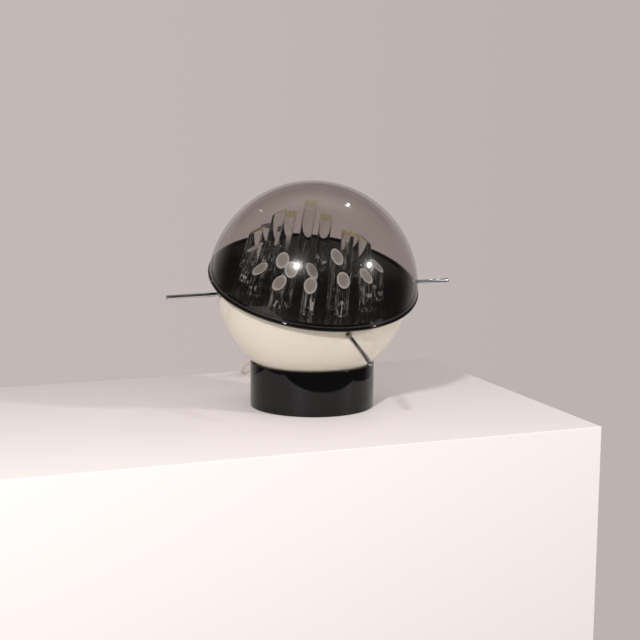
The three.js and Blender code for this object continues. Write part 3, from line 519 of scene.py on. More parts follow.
@finish("cord_plastic")
def clear_cord(f, tones):
    """Two twisted bundles of copper strands that show through a clear skin."""
    x, y, _ = f.parts(f.attribute("around", "Vector"))
    turn = f.maths("ARCTAN2", y, x)
    along = f.attribute("along", "Fac")
    bundles = f.maths("SINE", turn * 2.0 + along * (2.0 * math.pi / 0.022))
    strands = f.maths("SINE", turn * 14.0 + along * (2.0 * math.pi / 0.009))
    metal = f.band(bundles, -0.1, 0.6)
    copper = f.blend(
        f.band(strands, -0.6, 0.9), lighter(tones.copper, 0.55), lighter(tones.copper, 1.5)
    )
    return f.surface(
        base_color=f.blend(metal * 0.4, tones.cord_skin, copper),
        roughness=0.28 + f.noise(400.0, 2.0) * 0.12,
        coat_weight=0.6,
        coat_roughness=0.12,
        normal=f.bump(metal, 0.00015),
    )


@finish("cord_plastic")
def clear_grommet(f, tones):
    cloud = f.noise(260.0, 3.0)
    return f.surface(
        base_color=f.shade(cloud, tones.cord_skin, 0.75),
        roughness=0.3 + cloud * 0.15,
        normal=f.bump(cloud, 0.00004),
    )


@finish(None)
def plinth_paint(f, tones):
    paint = studio_of(bpy.context).table
    roller = f.noise(260.0, 3.0)
    return f.surface(
        base_color=f.blend(f.noise(2.0, 2.0), lighter(paint, 0.985), paint),
        roughness=0.55 + roller * 0.1,
        normal=f.bump(roller, 0.00005),
    )


def globe_place(s):
    """The globe's own frame: Z along its axis, X to the right."""
    axis = Vector((
        math.sin(s.globe_tilt) * math.cos(s.tilt_azimuth),
        math.sin(s.globe_tilt) * math.sin(s.tilt_azimuth),
        math.cos(s.globe_tilt),
    ))
    right = (Vector((1, 0, 0)) - axis * axis.x).normalized()
    turn = Matrix((right, axis.cross(right), axis)).transposed().to_4x4()
    return Matrix.Translation((0, 0, s.globe_height)) @ turn


def outward(azimuth, height):
    """Lays what stands along +Z so that it points outward at an azimuth and a height."""
    return (
        Matrix.Translation((0, 0, height))
        @ Matrix.Rotation(azimuth, 4, "Z")
        @ Matrix.Rotation(math.pi / 2, 4, "Y")
    )


def across(long_side, short_side):
    """The other short side of a right-angled triangle."""
    return math.sqrt(long_side * long_side - short_side * short_side)


def dish_hollow(s):
    """The lip's radius, the hollow's radius and the height of the middle of its curve."""
    lip = across(s.dome_radius - s.dome_wall, s.flange_high + s.lip_rise) - SLIP
    mouth = lip - s.lip_width
    return lip, mouth, s.flange_high + across(s.dish_curve, mouth)


def skirt_radius(s):
    return across(s.bowl_radius - s.bowl_wall, s.skirt_depth) - SLIP


def arc(radius, centre, start, end, count):
    """Points of an arc about a centre on the axis, as distances and heights."""
    angles = [start + (end - start) * i / count for i in range(count + 1)]
    return [(radius * math.cos(a), centre + radius * math.sin(a)) for a in angles]


def cut_of(inner, outer, low, high):
    """The cut through a flat ring, or through half a disc where inner is 0."""
    return [(inner, low), (outer, low), (outer, high), (inner, high)]


def rounded(points, radius, loop=False, steps=4):
    """An outline with its corners eased by short curves."""
    count = len(points)
    eased = []
    for i, point in enumerate(points):
        here = Vector(point)
        before = Vector(points[i - 1]) - here
        after = Vector(points[(i + 1) % count]) - here
        end_of_line = not loop and i in (0, count - 1)
        if (
            end_of_line or before.length < 1e-9 or after.length < 1e-9
            or before.angle(after) > math.radians(160)
        ):
            eased.append(tuple(here))
            continue
        reach = min(radius, 0.45 * before.length, 0.45 * after.length)
        start = here + before.normalized() * reach
        end = here + after.normalized() * reach
        for k in range(steps + 1):
            t = k / steps
            eased.append(tuple(start * (1 - t) ** 2 + here * (2 * t * (1 - t)) + end * t ** 2))
    return eased


def linked(name, mesh, material=None):
    piece = bpy.data.objects.new(name.replace(" ", "_"), mesh)
    bpy.context.scene.collection.objects.link(piece)
    if material:
        mesh.materials.clear()
        mesh.materials.append(material)
    return piece


def removed(piece):
    mesh = piece.data
    bpy.data.objects.remove(piece)
    bpy.data.meshes.remove(mesh)


def smooth(mesh, degrees=32.0):
    mesh.polygons.foreach_set("use_smooth", [True] * len(mesh.polygons))
    mesh.set_sharp_from_angle(angle=math.radians(degrees))
    mesh.update()


def mesh_of(name, bm, place=None):
    mesh = bpy.data.meshes.new(name)
    bm.to_mesh(mesh)
    bm.free()
    if place is not None:
        mesh.transform(place)
    smooth(mesh)
    return mesh


def turned(name, outline, material=None, place=None, sides=64, loop=False):
    """A shape turned about Z, with a UV map that runs round it and along its outline."""
    bm = bmesh.new()
    layer = bm.loops.layers.uv.new("UVMap")
    turns = [2 * math.pi * k / sides for k in range(sides)]
    rings = []
    for radius, height in outline:
        if radius < 1e-7:
            rings.append([bm.verts.new((0, 0, height))])
            continue
        rings.append([
            bm.verts.new((radius * math.cos(a), radius * math.sin(a), height)) for a in turns
        ])
    along = [0.0]
    for first, second in zip(outline, outline[1:] + outline[:1]):
        along.append(along[-1] + (Vector(second) - Vector(first)).length)
    for i in range(len(outline) if loop else len(outline) - 1):
        low, high = rings[i], rings[(i + 1) % len(rings)]
        for k in range(sides):
            n = k + 1
            corners = [(low, k, i), (low, n, i), (high, n, i + 1), (high, k, i + 1)]
            if len(low) == 1:
                corners = corners[1:]
            if len(high) == 1:
                corners = corners[:3]
            if len(corners) < 3:
                continue
            face = bm.faces.new([ring[at % len(ring)] for ring, at, _ in corners])
            for corner, (_, at, row) in zip(face.loops, corners):
                corner[layer].uv = (at / sides, along[row])
    bmesh.ops.recalc_face_normals(bm, faces=bm.faces)
    return linked(name, mesh_of(name, bm, place), material)


def settled(piece):
    """Turns a piece and its modifiers into one plain mesh."""
    depsgraph = bpy.context.evaluated_depsgraph_get()
    mesh = bpy.data.meshes.new_from_object(piece.evaluated_get(depsgraph))
    piece.modifiers.clear()
    old = piece.data
    piece.data = mesh
    bpy.data.meshes.remove(old)


def drill_bit(radius, start, end, place=None):
    """A drill along Z that reaches a little past start and end."""
    return turned("Drill", cut_of(0, radius, start - PAST, end + PAST), None, place, 48)


def drilled(piece, *drills):
    """Cuts a piece with each drill and removes the drills."""
    for drill in drills:
        cut = piece.modifiers.new("Drill", "BOOLEAN")
        cut.operation = "DIFFERENCE"
        cut.solver = "EXACT"
        cut.object = drill
    settled(piece)
    for drill in drills:
        removed(drill)
    smooth(piece.data)


def put(piece, body, slot, *nodes):
    """Rides a finished piece on its body, and lets it stand for its CAD nodes."""
    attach(piece, body)
    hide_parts(*nodes)
    return piece


def fitted(name, outline, ease, finish, body, place=None, sides=64, loop=False, drills=()):
    """A turned piece with eased edges, in place of the CAD node of the same name."""
    if ease:
        outline = rounded(outline, ease, loop)
    piece = turned(name, outline, finish(), place, sides, loop)
    if drills:
        drilled(piece, *drills)
    return put(piece, body, finish.slot, name.lower().replace(" ", "_"))


def softened(name, width, finish, body):
    """A copy of a CAD node with its flat faces joined and its edges rounded, in its place."""
    node = name.lower().replace(" ", "_")
    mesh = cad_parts[node].data.copy()
    mesh.name = name
    bm = bmesh.new()
    bm.from_mesh(mesh)
    bmesh.ops.remove_doubles(bm, verts=bm.verts, dist=0.00002)
    bmesh.ops.dissolve_limit(bm, angle_limit=math.radians(2), verts=bm.verts, edges=bm.edges)
    bm.to_mesh(mesh)
    bm.free()
    piece = linked(name, mesh, finish())
    edge = piece.modifiers.new("Edges", "BEVEL")
    edge.width = width
    edge.segments = 3
    edge.limit_method = "ANGLE"
    edge.angle_limit = math.radians(38)
    edge.use_clamp_overlap = True
    settled(piece)
    smooth(piece.data, 40.0)
    return put(piece, body, finish.slot, node)


def points_piece(name, points, **columns):
    """Loose points that hold numbers or vectors by name, for a pattern to use."""
    mesh = bpy.data.meshes.new(name)
    mesh.from_pydata(points, [], [])
    for label, rows in columns.items():
        if isinstance(rows[0], tuple):
            flat = [part for row in rows for part in row]
            mesh.attributes.new(label, "FLOAT_VECTOR", "POINT").data.foreach_set("vector", flat)
        else:
            mesh.attributes.new(label, "FLOAT", "POINT").data.foreach_set("value", rows)
    return linked(name, mesh)


class Pattern(Nodes):
    """A geometry tree with named inputs, which ends in real geometry with its materials."""

    def __init__(self, name, **inputs):
        super().__init__(bpy.data.node_groups.new(name, "GeometryNodeTree"))
        sockets = self.tree.interface
        sockets.new_socket("Geometry", in_out="OUTPUT", socket_type="NodeSocketGeometry")
        inputs = {"Geometry": "Geometry", **inputs}
        for label, kind in inputs.items():
            sockets.new_socket(label, in_out="INPUT", socket_type=f"NodeSocket{kind}")
        start = self.node("NodeGroupInput")
        self.given = {label: self.other(start, label) for label in inputs}

    def kept(self, name, kind="FLOAT"):
        return self.node("GeometryNodeInputNamedAttribute", {"Name": name}, data_type=kind)

    def stored(self, geometry, name, value, kind="FLOAT", domain="POINT"):
        return self.node(
            "GeometryNodeStoreNamedAttribute",
            {"Geometry": geometry, "Name": name, "Value": value}, data_type=kind, domain=domain,
        )

    def copies(self, points, shape, rotation=(0, 0, 0)):
        return self.node(
            "GeometryNodeInstanceOnPoints",
            {"Points": points, "Instance": shape, "Rotation": rotation},
        )

    def realized(self, geometry):
        return self.node("GeometryNodeRealizeInstances", {"Geometry": geometry})

    def finished(self, geometry, **parts):
        """Ends the tree: each material input goes on all faces, or on those it is given."""
        geometry = self.realized(geometry)
        for label, selection in (parts or {"Material": None}).items():
            sockets = {"Geometry": geometry, "Material": self.given[label]}
            if selection is not None:
                sockets["Selection"] = selection
            geometry = self.node("GeometryNodeSetMaterial", sockets)
        self.node("NodeGroupOutput", {"Geometry": geometry})
        return self.tree


def grown(piece, make, **settings):
    """Runs a pattern on a piece with its named inputs set."""
    name = make.__name__.replace("_", " ").capitalize()
    tree = bpy.data.node_groups.get(name) or make(name)
    modifier = piece.modifiers.new("Pattern", "NODES")
    modifier.node_group = tree
    for item in tree.interface.items_tree:
        if item.item_type == "SOCKET" and item.in_out == "INPUT" and item.name in settings:
            modifier[item.identifier] = settings[item.name]
    piece.update_tag()
    settled(piece)
    while len(piece.data.materials) > 1 and piece.data.materials[0] is None:
        piece.data.materials.pop(index=0)


def turned_copies(name):
    """Copies of one shape at equal turns about Z."""
    p = Pattern(name, Copies="Int", First="Float", Step="Float", Material="Material")
    points = p.node("GeometryNodePoints", {"Count": p.given["Copies"]})
    turn = p.given["First"] + p.given["Step"] * p.node("GeometryNodeInputIndex")
    return p.finished(p.copies(points, p.given["Geometry"], p.joined(0.0, 0.0, turn)))


def leaning_copies(name):
    """Copies of an object on points that hold how each one leans."""
    p = Pattern(name, Shape="Object", Material="Material")
    shape = p.node("GeometryNodeObjectInfo", {"Object": p.given["Shape"]}, out=4)
    return p.finished(p.copies(p.given["Geometry"], shape, p.kept("lean", "FLOAT_VECTOR")))


def cord_along_a_path(name):
    """A round cord along a path, which keeps how far along and around each point is."""
    p = Pattern(name, Radius="Float", Sides="Int", Material="Material")
    path = p.node("GeometryNodeMeshToCurve", {"Mesh": p.given["Geometry"]})
    path = p.stored(path, "along", p.node("GeometryNodeSplineParameter", out=1))
    section = p.node(
        "GeometryNodeCurvePrimitiveCircle",
        {"Resolution": p.given["Sides"], "Radius": p.given["Radius"]},
    )
    place = p.node("GeometryNodeInputPosition")
    section = p.stored(section, "around", place, "FLOAT_VECTOR")
    return p.finished(p.node(
        "GeometryNodeCurveToMesh", {"Curve": path, "Profile Curve": section, "Fill Caps": True},
    ))


def slanted_rods(name):
    """Round rods with slanted ends on points that hold each rod's height, cut and turn."""
    p = Pattern(
        name, Radius="Float", Tail="Float", Slant="Float", Rim="Float",
        Clear="Material", Frosted="Material", Aged="Material",
    )
    radius, tall, foot = p.given["Radius"], p.kept("tall"), p.kept("foot", "FLOAT_VECTOR")
    blank = p.node(
        "GeometryNodeMeshCylinder",
        {"Vertices": 40, "Side Segments": 1, "Fill Segments": 3, "Radius": radius, "Depth": 1.0},
        fill_type="TRIANGLE_FAN",
    )
    blank = p.stored(blank, "cut_face", p.other(blank, "Top"), "BOOLEAN", "FACE")
    rods = p.realized(p.copies(p.given["Geometry"], blank))
    x, y, z = p.parts(p.vectors("SUBTRACT", p.node("GeometryNodeInputPosition"), foot))
    upper = z > 0.0
    part = (x * x + y * y) ** 0.5 / radius
    eased = (part > 0.9) * p.given["Rim"]
    # The blank's rings of points move outward, so that the last one eases the rim
    spread = (1.0 - p.maths("MAXIMUM", 1.0 - part, 0.0) ** 2.56) / p.maths("MAXIMUM", part, 0.001)
    x, y = x * spread, y * spread
    drawn = p.joined(x / radius * 3.0, y / radius * 3.0, tall * upper * 12.0 + p.kept("seed"))
    rods = p.stored(rods, "off_axis", part * spread)
    rods = p.stored(rods, "drawn", drawn, "FLOAT_VECTOR")
    rods = p.stored(rods, "up", tall * upper)
    turn = p.kept("cut_turn")
    slope = p.maths("TANGENT", p.given["Slant"])
    high = tall - (x * p.maths("COSINE", turn) + y * p.maths("SINE", turn)) * slope - eased
    low = eased - p.given["Tail"]
    bent = p.joined(x, y, high * upper + low * (1.0 - upper))
    lean = p.node("FunctionNodeEulerToRotation", {0: p.kept("lean", "FLOAT_VECTOR")})
    bent = p.node("FunctionNodeRotateVector", {"Vector": bent, "Rotation": lean})
    placed = p.vectors("ADD", bent, foot)
    rods = p.node("GeometryNodeSetPosition", {"Geometry": rods, "Position": placed})
    cut = p.kept("cut_face", "BOOLEAN")
    # The rods behind get the paler sawn ends, which are painted light
    return p.finished(rods, Clear=None, Frosted=cut, Aged=cut * p.kept("aged"))


# Points of the cord's routes, in metres, as the CAD solids have them
INNER_LEAD_ROUTE = [
    (-0.0185, 0.052, 0.019), (-0.014, 0.0565, 0.0125), (-0.004, 0.060, 0.0082),
    (0.010, 0.061, 0.0065), (0.026, 0.056, 0.0065), (0.040, 0.045, 0.0065),
    (0.050, 0.029, 0.0065), (0.052, 0.010, 0.0065), (0.046, -0.008, 0.0065),
    (0.032, -0.020, 0.0065), (0.014, -0.025, 0.0065), (-0.005, -0.022, 0.0065),
    (-0.022, -0.012, 0.0065), (-0.034, 0.003, 0.007), (-0.038, 0.020, 0.0095),
    (-0.036, 0.036, 0.015), (-0.033, 0.049, 0.0235), (-0.0325, 0.0575, 0.0325),
]
ROUTE_TO_SWITCH = [
    (-0.0575, 0.108, 0.0438), (-0.0645, 0.1195, 0.0425), (-0.074, 0.1305, 0.0398),
    (-0.0845, 0.1395, 0.0358), (-0.0925, 0.1465, 0.032), (-0.0975, 0.153, 0.0295),
    (-0.102, 0.161, 0.0263), (-0.1058, 0.171, 0.0213), (-0.1086, 0.183, 0.0156),
    (-0.1104, 0.1945, 0.0106), (-0.1114, 0.205, 0.0066), (-0.1112, 0.214, 0.0039),
    (-0.109, 0.2225, 0.0026), (-0.1045, 0.230, 0.00225), (-0.098, 0.2365, 0.00225),
    (-0.090, 0.2418, 0.00225), (-0.082, 0.246, 0.0024), (-0.074, 0.2492, 0.0034),
    (-0.0665, 0.2505, 0.0043), (-0.0613, 0.2505, 0.0043),
]
ROUTE_TO_COIL = [
    (0.0213, 0.2505, 0.0043), (0.0265, 0.2505, 0.0043), (0.0375, 0.2497, 0.0029),
    (0.0495, 0.2455, 0.00225), (0.060, 0.2378, 0.00225), (0.0678, 0.227, 0.00225),
    (0.072, 0.2135, 0.00225), (0.0731, 0.200, 0.00225), (0.0731, 0.183, 0.00225),
    (0.0731, 0.170, 0.00225),
]
ROUTE_TO_PLUG = [
    (0.0029, 0.170, 0.00725), (0.0022, 0.179, 0.0063), (-0.0015, 0.191, 0.0042),
    (-0.0095, 0.201, 0.0028), (-0.021, 0.2065, 0.0023), (-0.034, 0.2055, 0.0024),
    (-0.0455, 0.1995, 0.0032), (-0.053, 0.1895, 0.0048), (-0.056, 0.179, 0.0064),
    (-0.056, 0.1745, 0.00675),
]

# The coil, the cord's way out with its strain relief, the switch and the plug
COIL_CENTRE = (0.038, 0.160)
COIL_LOOPS = 6.5
COIL_GAP = 0.0005
OUTLET_AZIMUTH = math.radians(118)
OUTLET_HEIGHT = 0.044
RELIEF_NECK, RELIEF_FLANGE, RELIEF_FLANGE_THICKNESS = 0.0046, 0.007, 0.0015
RELIEF_TIP, RELIEF_LENGTH = 0.003, 0.022
SWITCH_MIDDLE = (-0.020, 0.2505)
PLUG_END = (-0.056, 0.1697)
PLUG_RELIEF_LENGTH, PLUG_LENGTH, PLUG_THICKNESS = 0.020, 0.038, 0.0135
PIN_RADIUS, PIN_LENGTH, PIN_SPACING, PIN_DEPTH = 0.002, 0.019, 0.019, 0.0057

# The chromed rods, their bushes and nuts, and the hole at the bowl's pole
CHROME_HEIGHT = -0.004545
BUSH_SLEEVE, BUSH_BORE, BUSH_FLANGE, BUSH_FLANGE_THICKNESS = 0.0033, 0.0023, 0.0045, 0.0015
BUSH_HOLE, POLE_HOLE = 0.0036, 0.0053
ROD_NUT_RADIUS, ROD_NUT_HEIGHT = 0.004, 0.0032
SIDES_OF_GLOBE = ("right", "front", "left")

# Heights of what is stacked on the nipple, along the globe's axis
GLAND = (-0.1524, -0.1444)
NIPPLE = (-0.1479, -0.11856)
OUTER_NUT = (-0.1441, -0.1401)
WASHER = (-0.1398, -0.1383)
INNER_NUT = (-0.13386, -0.12986)
HOLDER_LOW = -0.12956

# Each clear rod: distance from the axis in metres, height as a share of the tallest, azimuth,
# and the turn of its slanted end away from straight outward, in degrees
CLEAR_RODS = [
    (0.056, 0.400, -157, 55), (0.080, 0.452, -119, 28), (0.098, 0.330, -148, 0),
    (0.103, 0.313, -121, 0), (0.057, 0.435, -97, 50), (0.092, 0.348, -95, 0),
    (0.065, 0.652, -64, 8), (0.094, 0.435, -65, -14), (0.097, 0.435, -40, 0),
    (0.094, 0.435, -13, 0), (0.097, 0.461, -172, -14), (0.055, 0.687, 32, 0),
    (0.050, 1.000, 113, -20), (0.080, 0.739, 128, -20), (0.080, 0.809, 149, 0),
    (0.108, 0.461, 138, -20), (0.102, 0.530, 163, 0), (0.065, 0.757, 81, 0),
    (0.080, 0.574, 42, 0), (0.080, 0.600, 22, 0),
]


def smooth_line(points, per_span=6):
    """Points of a centripetal spline through points."""
    points = [Vector(p) for p in points]
    points = [points[0] * 2 - points[1], *points, points[-1] * 2 - points[-2]]
    line = []
    for p0, p1, p2, p3 in zip(points, points[1:], points[2:], points[3:]):
        d0, d1, d2 = (math.sqrt((b - a).length) for a, b in ((p0, p1), (p1, p2), (p2, p3)))
        m1 = ((p1 - p0) / d0 - (p2 - p0) / (d0 + d1) + (p2 - p1) / d1) * d1
        m2 = ((p2 - p1) / d1 - (p3 - p1) / (d1 + d2) + (p3 - p2) / d2) * d1
        for k in range(per_span):
            t = k / per_span
            line.append(
                p1 * (2 * t ** 3 - 3 * t ** 2 + 1) + m1 * (t ** 3 - 2 * t ** 2 + t)
                + p2 * (3 * t ** 2 - 2 * t ** 3) + m2 * (t ** 3 - t ** 2)
            )
    return line + [points[-2]]


def rested(line, diameter):
    """A line whose cord lies on the table and not in it."""
    return [Vector((p.x, p.y, max(p.z, diameter / 2))) for p in line]


def outlet_point(distance):
    return Vector((
        distance * math.cos(OUTLET_AZIMUTH), distance * math.sin(OUTLET_AZIMUTH), OUTLET_HEIGHT
    ))


def relief_faces(s):
    """Where the strain relief's flanges lie, from the ring's axis."""
    inner = across(s.ring_radius - s.ring_wall, RELIEF_FLANGE)
    return inner * math.cos(math.pi / CAD_SIDES) - SEAT, s.ring_radius + SEAT


def coil_line(s, per_loop=72):
    """The coil's centre line: spiralling in on the table and out again on top of itself."""
    pitch = s.cord_diameter + COIL_GAP
    outside = s.coil_radius + pitch * COIL_LOOPS / 4
    line = []
    for i in range(round(COIL_LOOPS * per_loop) + 1):
        from_reversal = i / per_loop - COIL_LOOPS / 2
        radius = outside + pitch * (abs(from_reversal) - COIL_LOOPS / 2)
        climb = min(max(2 * from_reversal + 0.5, 0), 1)
        turn = -2 * math.pi * i / per_loop
        line.append(Vector((
            COIL_CENTRE[0] + radius * math.cos(turn),
            COIL_CENTRE[1] + radius * math.sin(turn),
            s.cord_diameter / 2 + climb * pitch,
        )))
    return line


def cord_piece(name, body, line, thick, *nodes):
    mesh = bpy.data.meshes.new(name)
    mesh.from_pydata(line, [(i, i + 1) for i in range(len(line) - 1)], [])
    piece = linked(name, mesh)
    grown(piece, cord_along_a_path, Radius=thick / 2, Sides=20, Material=clear_cord())
    smooth(piece.data, 60.0)
    return put(piece, body, clear_cord.slot, *nodes)


class GLOBELAMP_OT_studio(Operator):
    """Sets up the camera, the lamps, the backdrop and the pale plinth"""

    bl_idname = "globelamp.studio"
    bl_label = "Studio"

    def execute(self, context):
        studio, scene = studio_of(context), context.scene
        scene.view_settings.view_transform = "Standard"
        self.camera(scene, studio)
        middle = Vector((0, 0, sizes_of(context).globe_height))
        # Each lamp: the way to it from the globe, its distance, its two sizes and its power
        for name, way, distance, wide, high, power in (
            ("Key lamp", (-0.28, -0.838, 0.468), 3.4, 0.26, 0.26, studio.key_power),
            ("Side lamp", (0.866, -0.332, 0.375), 5.0, 0.32, 0.32, studio.side_power),
            ("Left back lamp", (-0.525, 0.501, 0.688), 3.0, 0.05, 0.05, studio.back_power / 8),
            ("Right back lamp", (0.363, 0.458, 0.812), 3.0, 0.22, 0.04, studio.back_power * 1.1),
        ):
            light = bpy.data.lights.new(name, "AREA")
            light.shape = "ELLIPSE"
            light.size, light.size_y, light.energy = wide, high, power
            lamp = bpy.data.objects.new(name, light)
            scene.collection.objects.link(lamp)
            way = Vector(way).normalized()
            lamp.location = middle + way * distance
            lamp.rotation_mode = "QUATERNION"
            lamp.rotation_quaternion = way.to_track_quat("Z", "Y")
        self.backdrop(scene, studio)
        self.plinth(studio)
        return {"FINISHED"}

    def camera(self, scene, studio):
        camera = bpy.data.objects.new("Camera", bpy.data.cameras.new("Camera"))
        scene.collection.objects.link(camera)
        camera.data.sensor_width = 36.0
        camera.data.lens = studio.lens
        camera.data.clip_end = 50.0
        ahead = Vector((0, math.cos(studio.camera_pitch), -math.sin(studio.camera_pitch)))
        level = Vector((1, 0, 0))
        up = level.cross(ahead)
        lean = studio.camera_roll
        right = level * math.cos(lean) + up * math.sin(lean)
        up = up * math.cos(lean) - level * math.sin(lean)
        turn = Matrix((right, up, -ahead)).transposed().to_4x4()
        camera.matrix_world = Matrix.Translation(studio.camera_place) @ turn
        scene.camera = camera

    def backdrop(self, scene, studio):
        """A wall that shows whole to the camera and through clear pieces, but dark in mirrors
        except for its lower middle, with a pale ceiling that only mirrors show."""
        scene.world = bpy.data.worlds.new("Backdrop")
        scene.world.use_nodes = True
        scene.world.node_tree.nodes.clear()
        n = Nodes(scene.world.node_tree)
        tone = studio.backdrop
        to_camera = n.node("ShaderNodeLightPath")
        through = n.other(to_camera, "Is Transmission Ray")
        x, y, z = n.parts(n.other(n.node("ShaderNodeTexCoord"), "Generated"))
        unmirrored = to_camera + through * (1.0 - (n.other(to_camera, "Glossy Depth") > 0.5))
        back = n.band(y, 0.35, 0.80) * n.band(z, 0.42, 0.22)
        ceiling = n.band(z, 0.72, 0.96) * n.band(y, 0.10, 0.35)
        wall = n.blend(n.band(x, -0.18, 0.18), lighter(tone, 1.035), lighter(tone, 0.965))
        wall = n.blend(n.maths("MAXIMUM", back, unmirrored), lighter(tone, 0.10), wall)
        wall = n.blend(ceiling * (1.0 - unmirrored), wall, (0.95, 0.89, 0.87))
        light, seen = (
            n.node("ShaderNodeBackground", {"Color": tint, "Strength": strength})
            for tint, strength in (((1.0, 0.93, 0.90), studio.ambient), (wall, 1.0))
        )
        looks = to_camera + n.other(to_camera, "Is Glossy Ray") + through
        n.node("ShaderNodeOutputWorld", {"Surface": n.mixed(looks, light, seen)})

    def plinth(self, studio):
        size = (studio.plinth_width, studio.plinth_depth, studio.plinth_height)
        box = Matrix.Translation([-side / 2 for side in size]) @ Matrix.Diagonal((*size, 1))
        bm = bmesh.new()
        bmesh.ops.create_cube(bm, size=1.0, matrix=box)
        bmesh.ops.bevel(
            bm, geom=bm.edges[:], offset=0.0015, segments=3, profile=0.5, affect="EDGES"
        )
        corner = Matrix.Translation((*studio.plinth_corner, 0))
        place = corner @ Matrix.Rotation(studio.plinth_turn, 4, "Z")
        linked("Plinth", mesh_of("Plinth", bm, place), plinth_paint())


class GLOBELAMP_OT_cords(Operator):
    """Makes the mains cord with its coil, and the leads inside the lamp"""

    bl_idname = "globelamp.cords"
    bl_label = "Cords"

    def execute(self, context):
        s = sizes_of(context)
        thick = s.cord_diameter
        tip = outlet_point(relief_faces(s)[1] + RELIEF_FLANGE_THICKNESS + RELIEF_LENGTH + SEAT)
        line = rested(smooth_line([tip, *ROUTE_TO_SWITCH]), thick)
        piece = cord_piece("Cord to switch", "base", line, thick, "cord_to_switch")
        coil = coil_line(s)
        step, gap = Vector((0, thick, 0)), Vector((0, SEAT, 0))
        coil = [coil[0] + step, *coil, coil[-1] + step]
        end = Vector((PLUG_END[0], PLUG_END[1] + SEAT, PLUG_THICKNESS / 2))
        line = smooth_line([*ROUTE_TO_COIL, coil[0] + gap]) + coil
        line = rested(line + smooth_line([coil[-1] + gap, *ROUTE_TO_PLUG, end]), thick)
        piece = cord_piece(
            "Cord to plug", "base", line, thick, "cord_to_coil", "cord_coil", "cord_to_plug"
        )
        tie = self.tie(s)
        self.leads(s)
        return {"FINISHED"}

    def leads(self, s):
        globe, thick = globe_place(s), s.cord_diameter
        axis = globe.to_3x3() @ Vector((0, 0, 1))
        gland_end = Vector((0, 0, s.globe_height)) + axis * (GLAND[0] - SEAT)
        relief = relief_faces(s)[0] - RELIEF_FLANGE_THICKNESS - SEAT
        line = smooth_line([
            gland_end, gland_end - axis * thick, *INNER_LEAD_ROUTE,
            outlet_point(relief - 2 * thick), outlet_point(relief - thick), outlet_point(relief),
        ])
        cord_piece("Inner lead", "base", line, thick, "inner_lead")
        low, high = GLAND[0], NIPPLE[1] + thick / 2
        line = [globe @ Vector((0, 0, low + (high - low) * i / 8)) for i in range(9)]
        cord_piece("Holder lead", "globe_core", line, thick, "holder_lead")

    def tie(self, s):
        """A strip that holds the coil together, on the side away from the lamp."""
        half_width, thickness, bend, turn = 0.0016, 0.0004, 0.003, math.radians(70)
        reach, top = 2 * s.cord_diameter, 2 * s.cord_diameter + 0.0012
        inner, outer = s.coil_radius - reach, s.coil_radius + reach
        middle = Vector(((inner + outer) / 2, top / 2))
        bm = bmesh.new()
        rows = []
        for x, z in rounded(cut_of(inner, outer, 0.0002, top), bend, True, 6):
            out = (Vector((x, z)) - middle).normalized() * thickness
            high = max(z - out.y, 0.0001)
            rows.append([
                bm.verts.new((x, -half_width, z)), bm.verts.new((x, half_width, z)),
                bm.verts.new((x - out.x, half_width, high)),
                bm.verts.new((x - out.x, -half_width, high)),
            ])
        for first, second in zip(rows, rows[1:] + rows[:1]):
            for k in range(4):
                n = (k + 1) % 4
                bm.faces.new((first[k], first[n], second[n], second[k]))
        bmesh.ops.recalc_face_normals(bm, faces=bm.faces)
        place = Matrix.Translation((*COIL_CENTRE, 0)) @ Matrix.Rotation(turn, 4, "Z")
        tie = linked("Coil tie", mesh_of("Coil tie", bm, place), black_phenolic())
        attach(tie, "base")
        return tie


class GLOBELAMP_OT_base(Operator):
    """Makes the black ring, the plate in it and the cord's strain relief"""

    bl_idname = "globelamp.base"
    bl_label = "Base ring"

    def execute(self, context):
        s, sides = sizes_of(context), studio_of(context).smooth_sides
        inside = s.ring_radius - s.ring_wall
        hole = outward(OUTLET_AZIMUTH, OUTLET_HEIGHT)
        ring = cut_of(inside, s.ring_radius, 0, s.ring_height)
        drill = drill_bit(RELIEF_NECK + FIT, inside, s.ring_radius, hole)
        fitted("Base ring", ring, 0.0007, black_acrylic, "base", None, sides, True, [drill])
        plate = cut_of(0, inside - FIT, 0, s.plate_thickness)
        fitted("Base plate", plate, 0.0004, black_acrylic, "base", None, sides)
        self.strain_relief(s, hole)
        return {"FINISHED"}

    def strain_relief(self, s, place):
        ribs, share_of_rib, groove, slope = 7, 0.62, 0.0006, 0.0004
        inner, outer = relief_faces(s)
        shoulder = outer + RELIEF_FLANGE_THICKNESS
        end = shoulder + RELIEF_LENGTH
        section = [
            (0, inner - RELIEF_FLANGE_THICKNESS), (RELIEF_FLANGE, inner - RELIEF_FLANGE_THICKNESS),
            (RELIEF_FLANGE, inner), (RELIEF_NECK, inner), (RELIEF_NECK, outer),
            (RELIEF_FLANGE, outer), (RELIEF_FLANGE, shoulder),
        ]
        for i in range(ribs):
            low = shoulder + RELIEF_LENGTH * i / ribs
            high = shoulder + RELIEF_LENGTH * (i + share_of_rib) / ribs
            for at, deep in ((low, groove), (low + slope, 0), (high, 0), (high + slope, groove)):
                part = (at - shoulder) / RELIEF_LENGTH
                section.append((RELIEF_NECK + (RELIEF_TIP - RELIEF_NECK) * part - deep, at))
        section += [(RELIEF_TIP - 0.0003, end), (0, end)]
        fitted("Strain relief", section, 0.0003, clear_grommet, "base", place, 40)


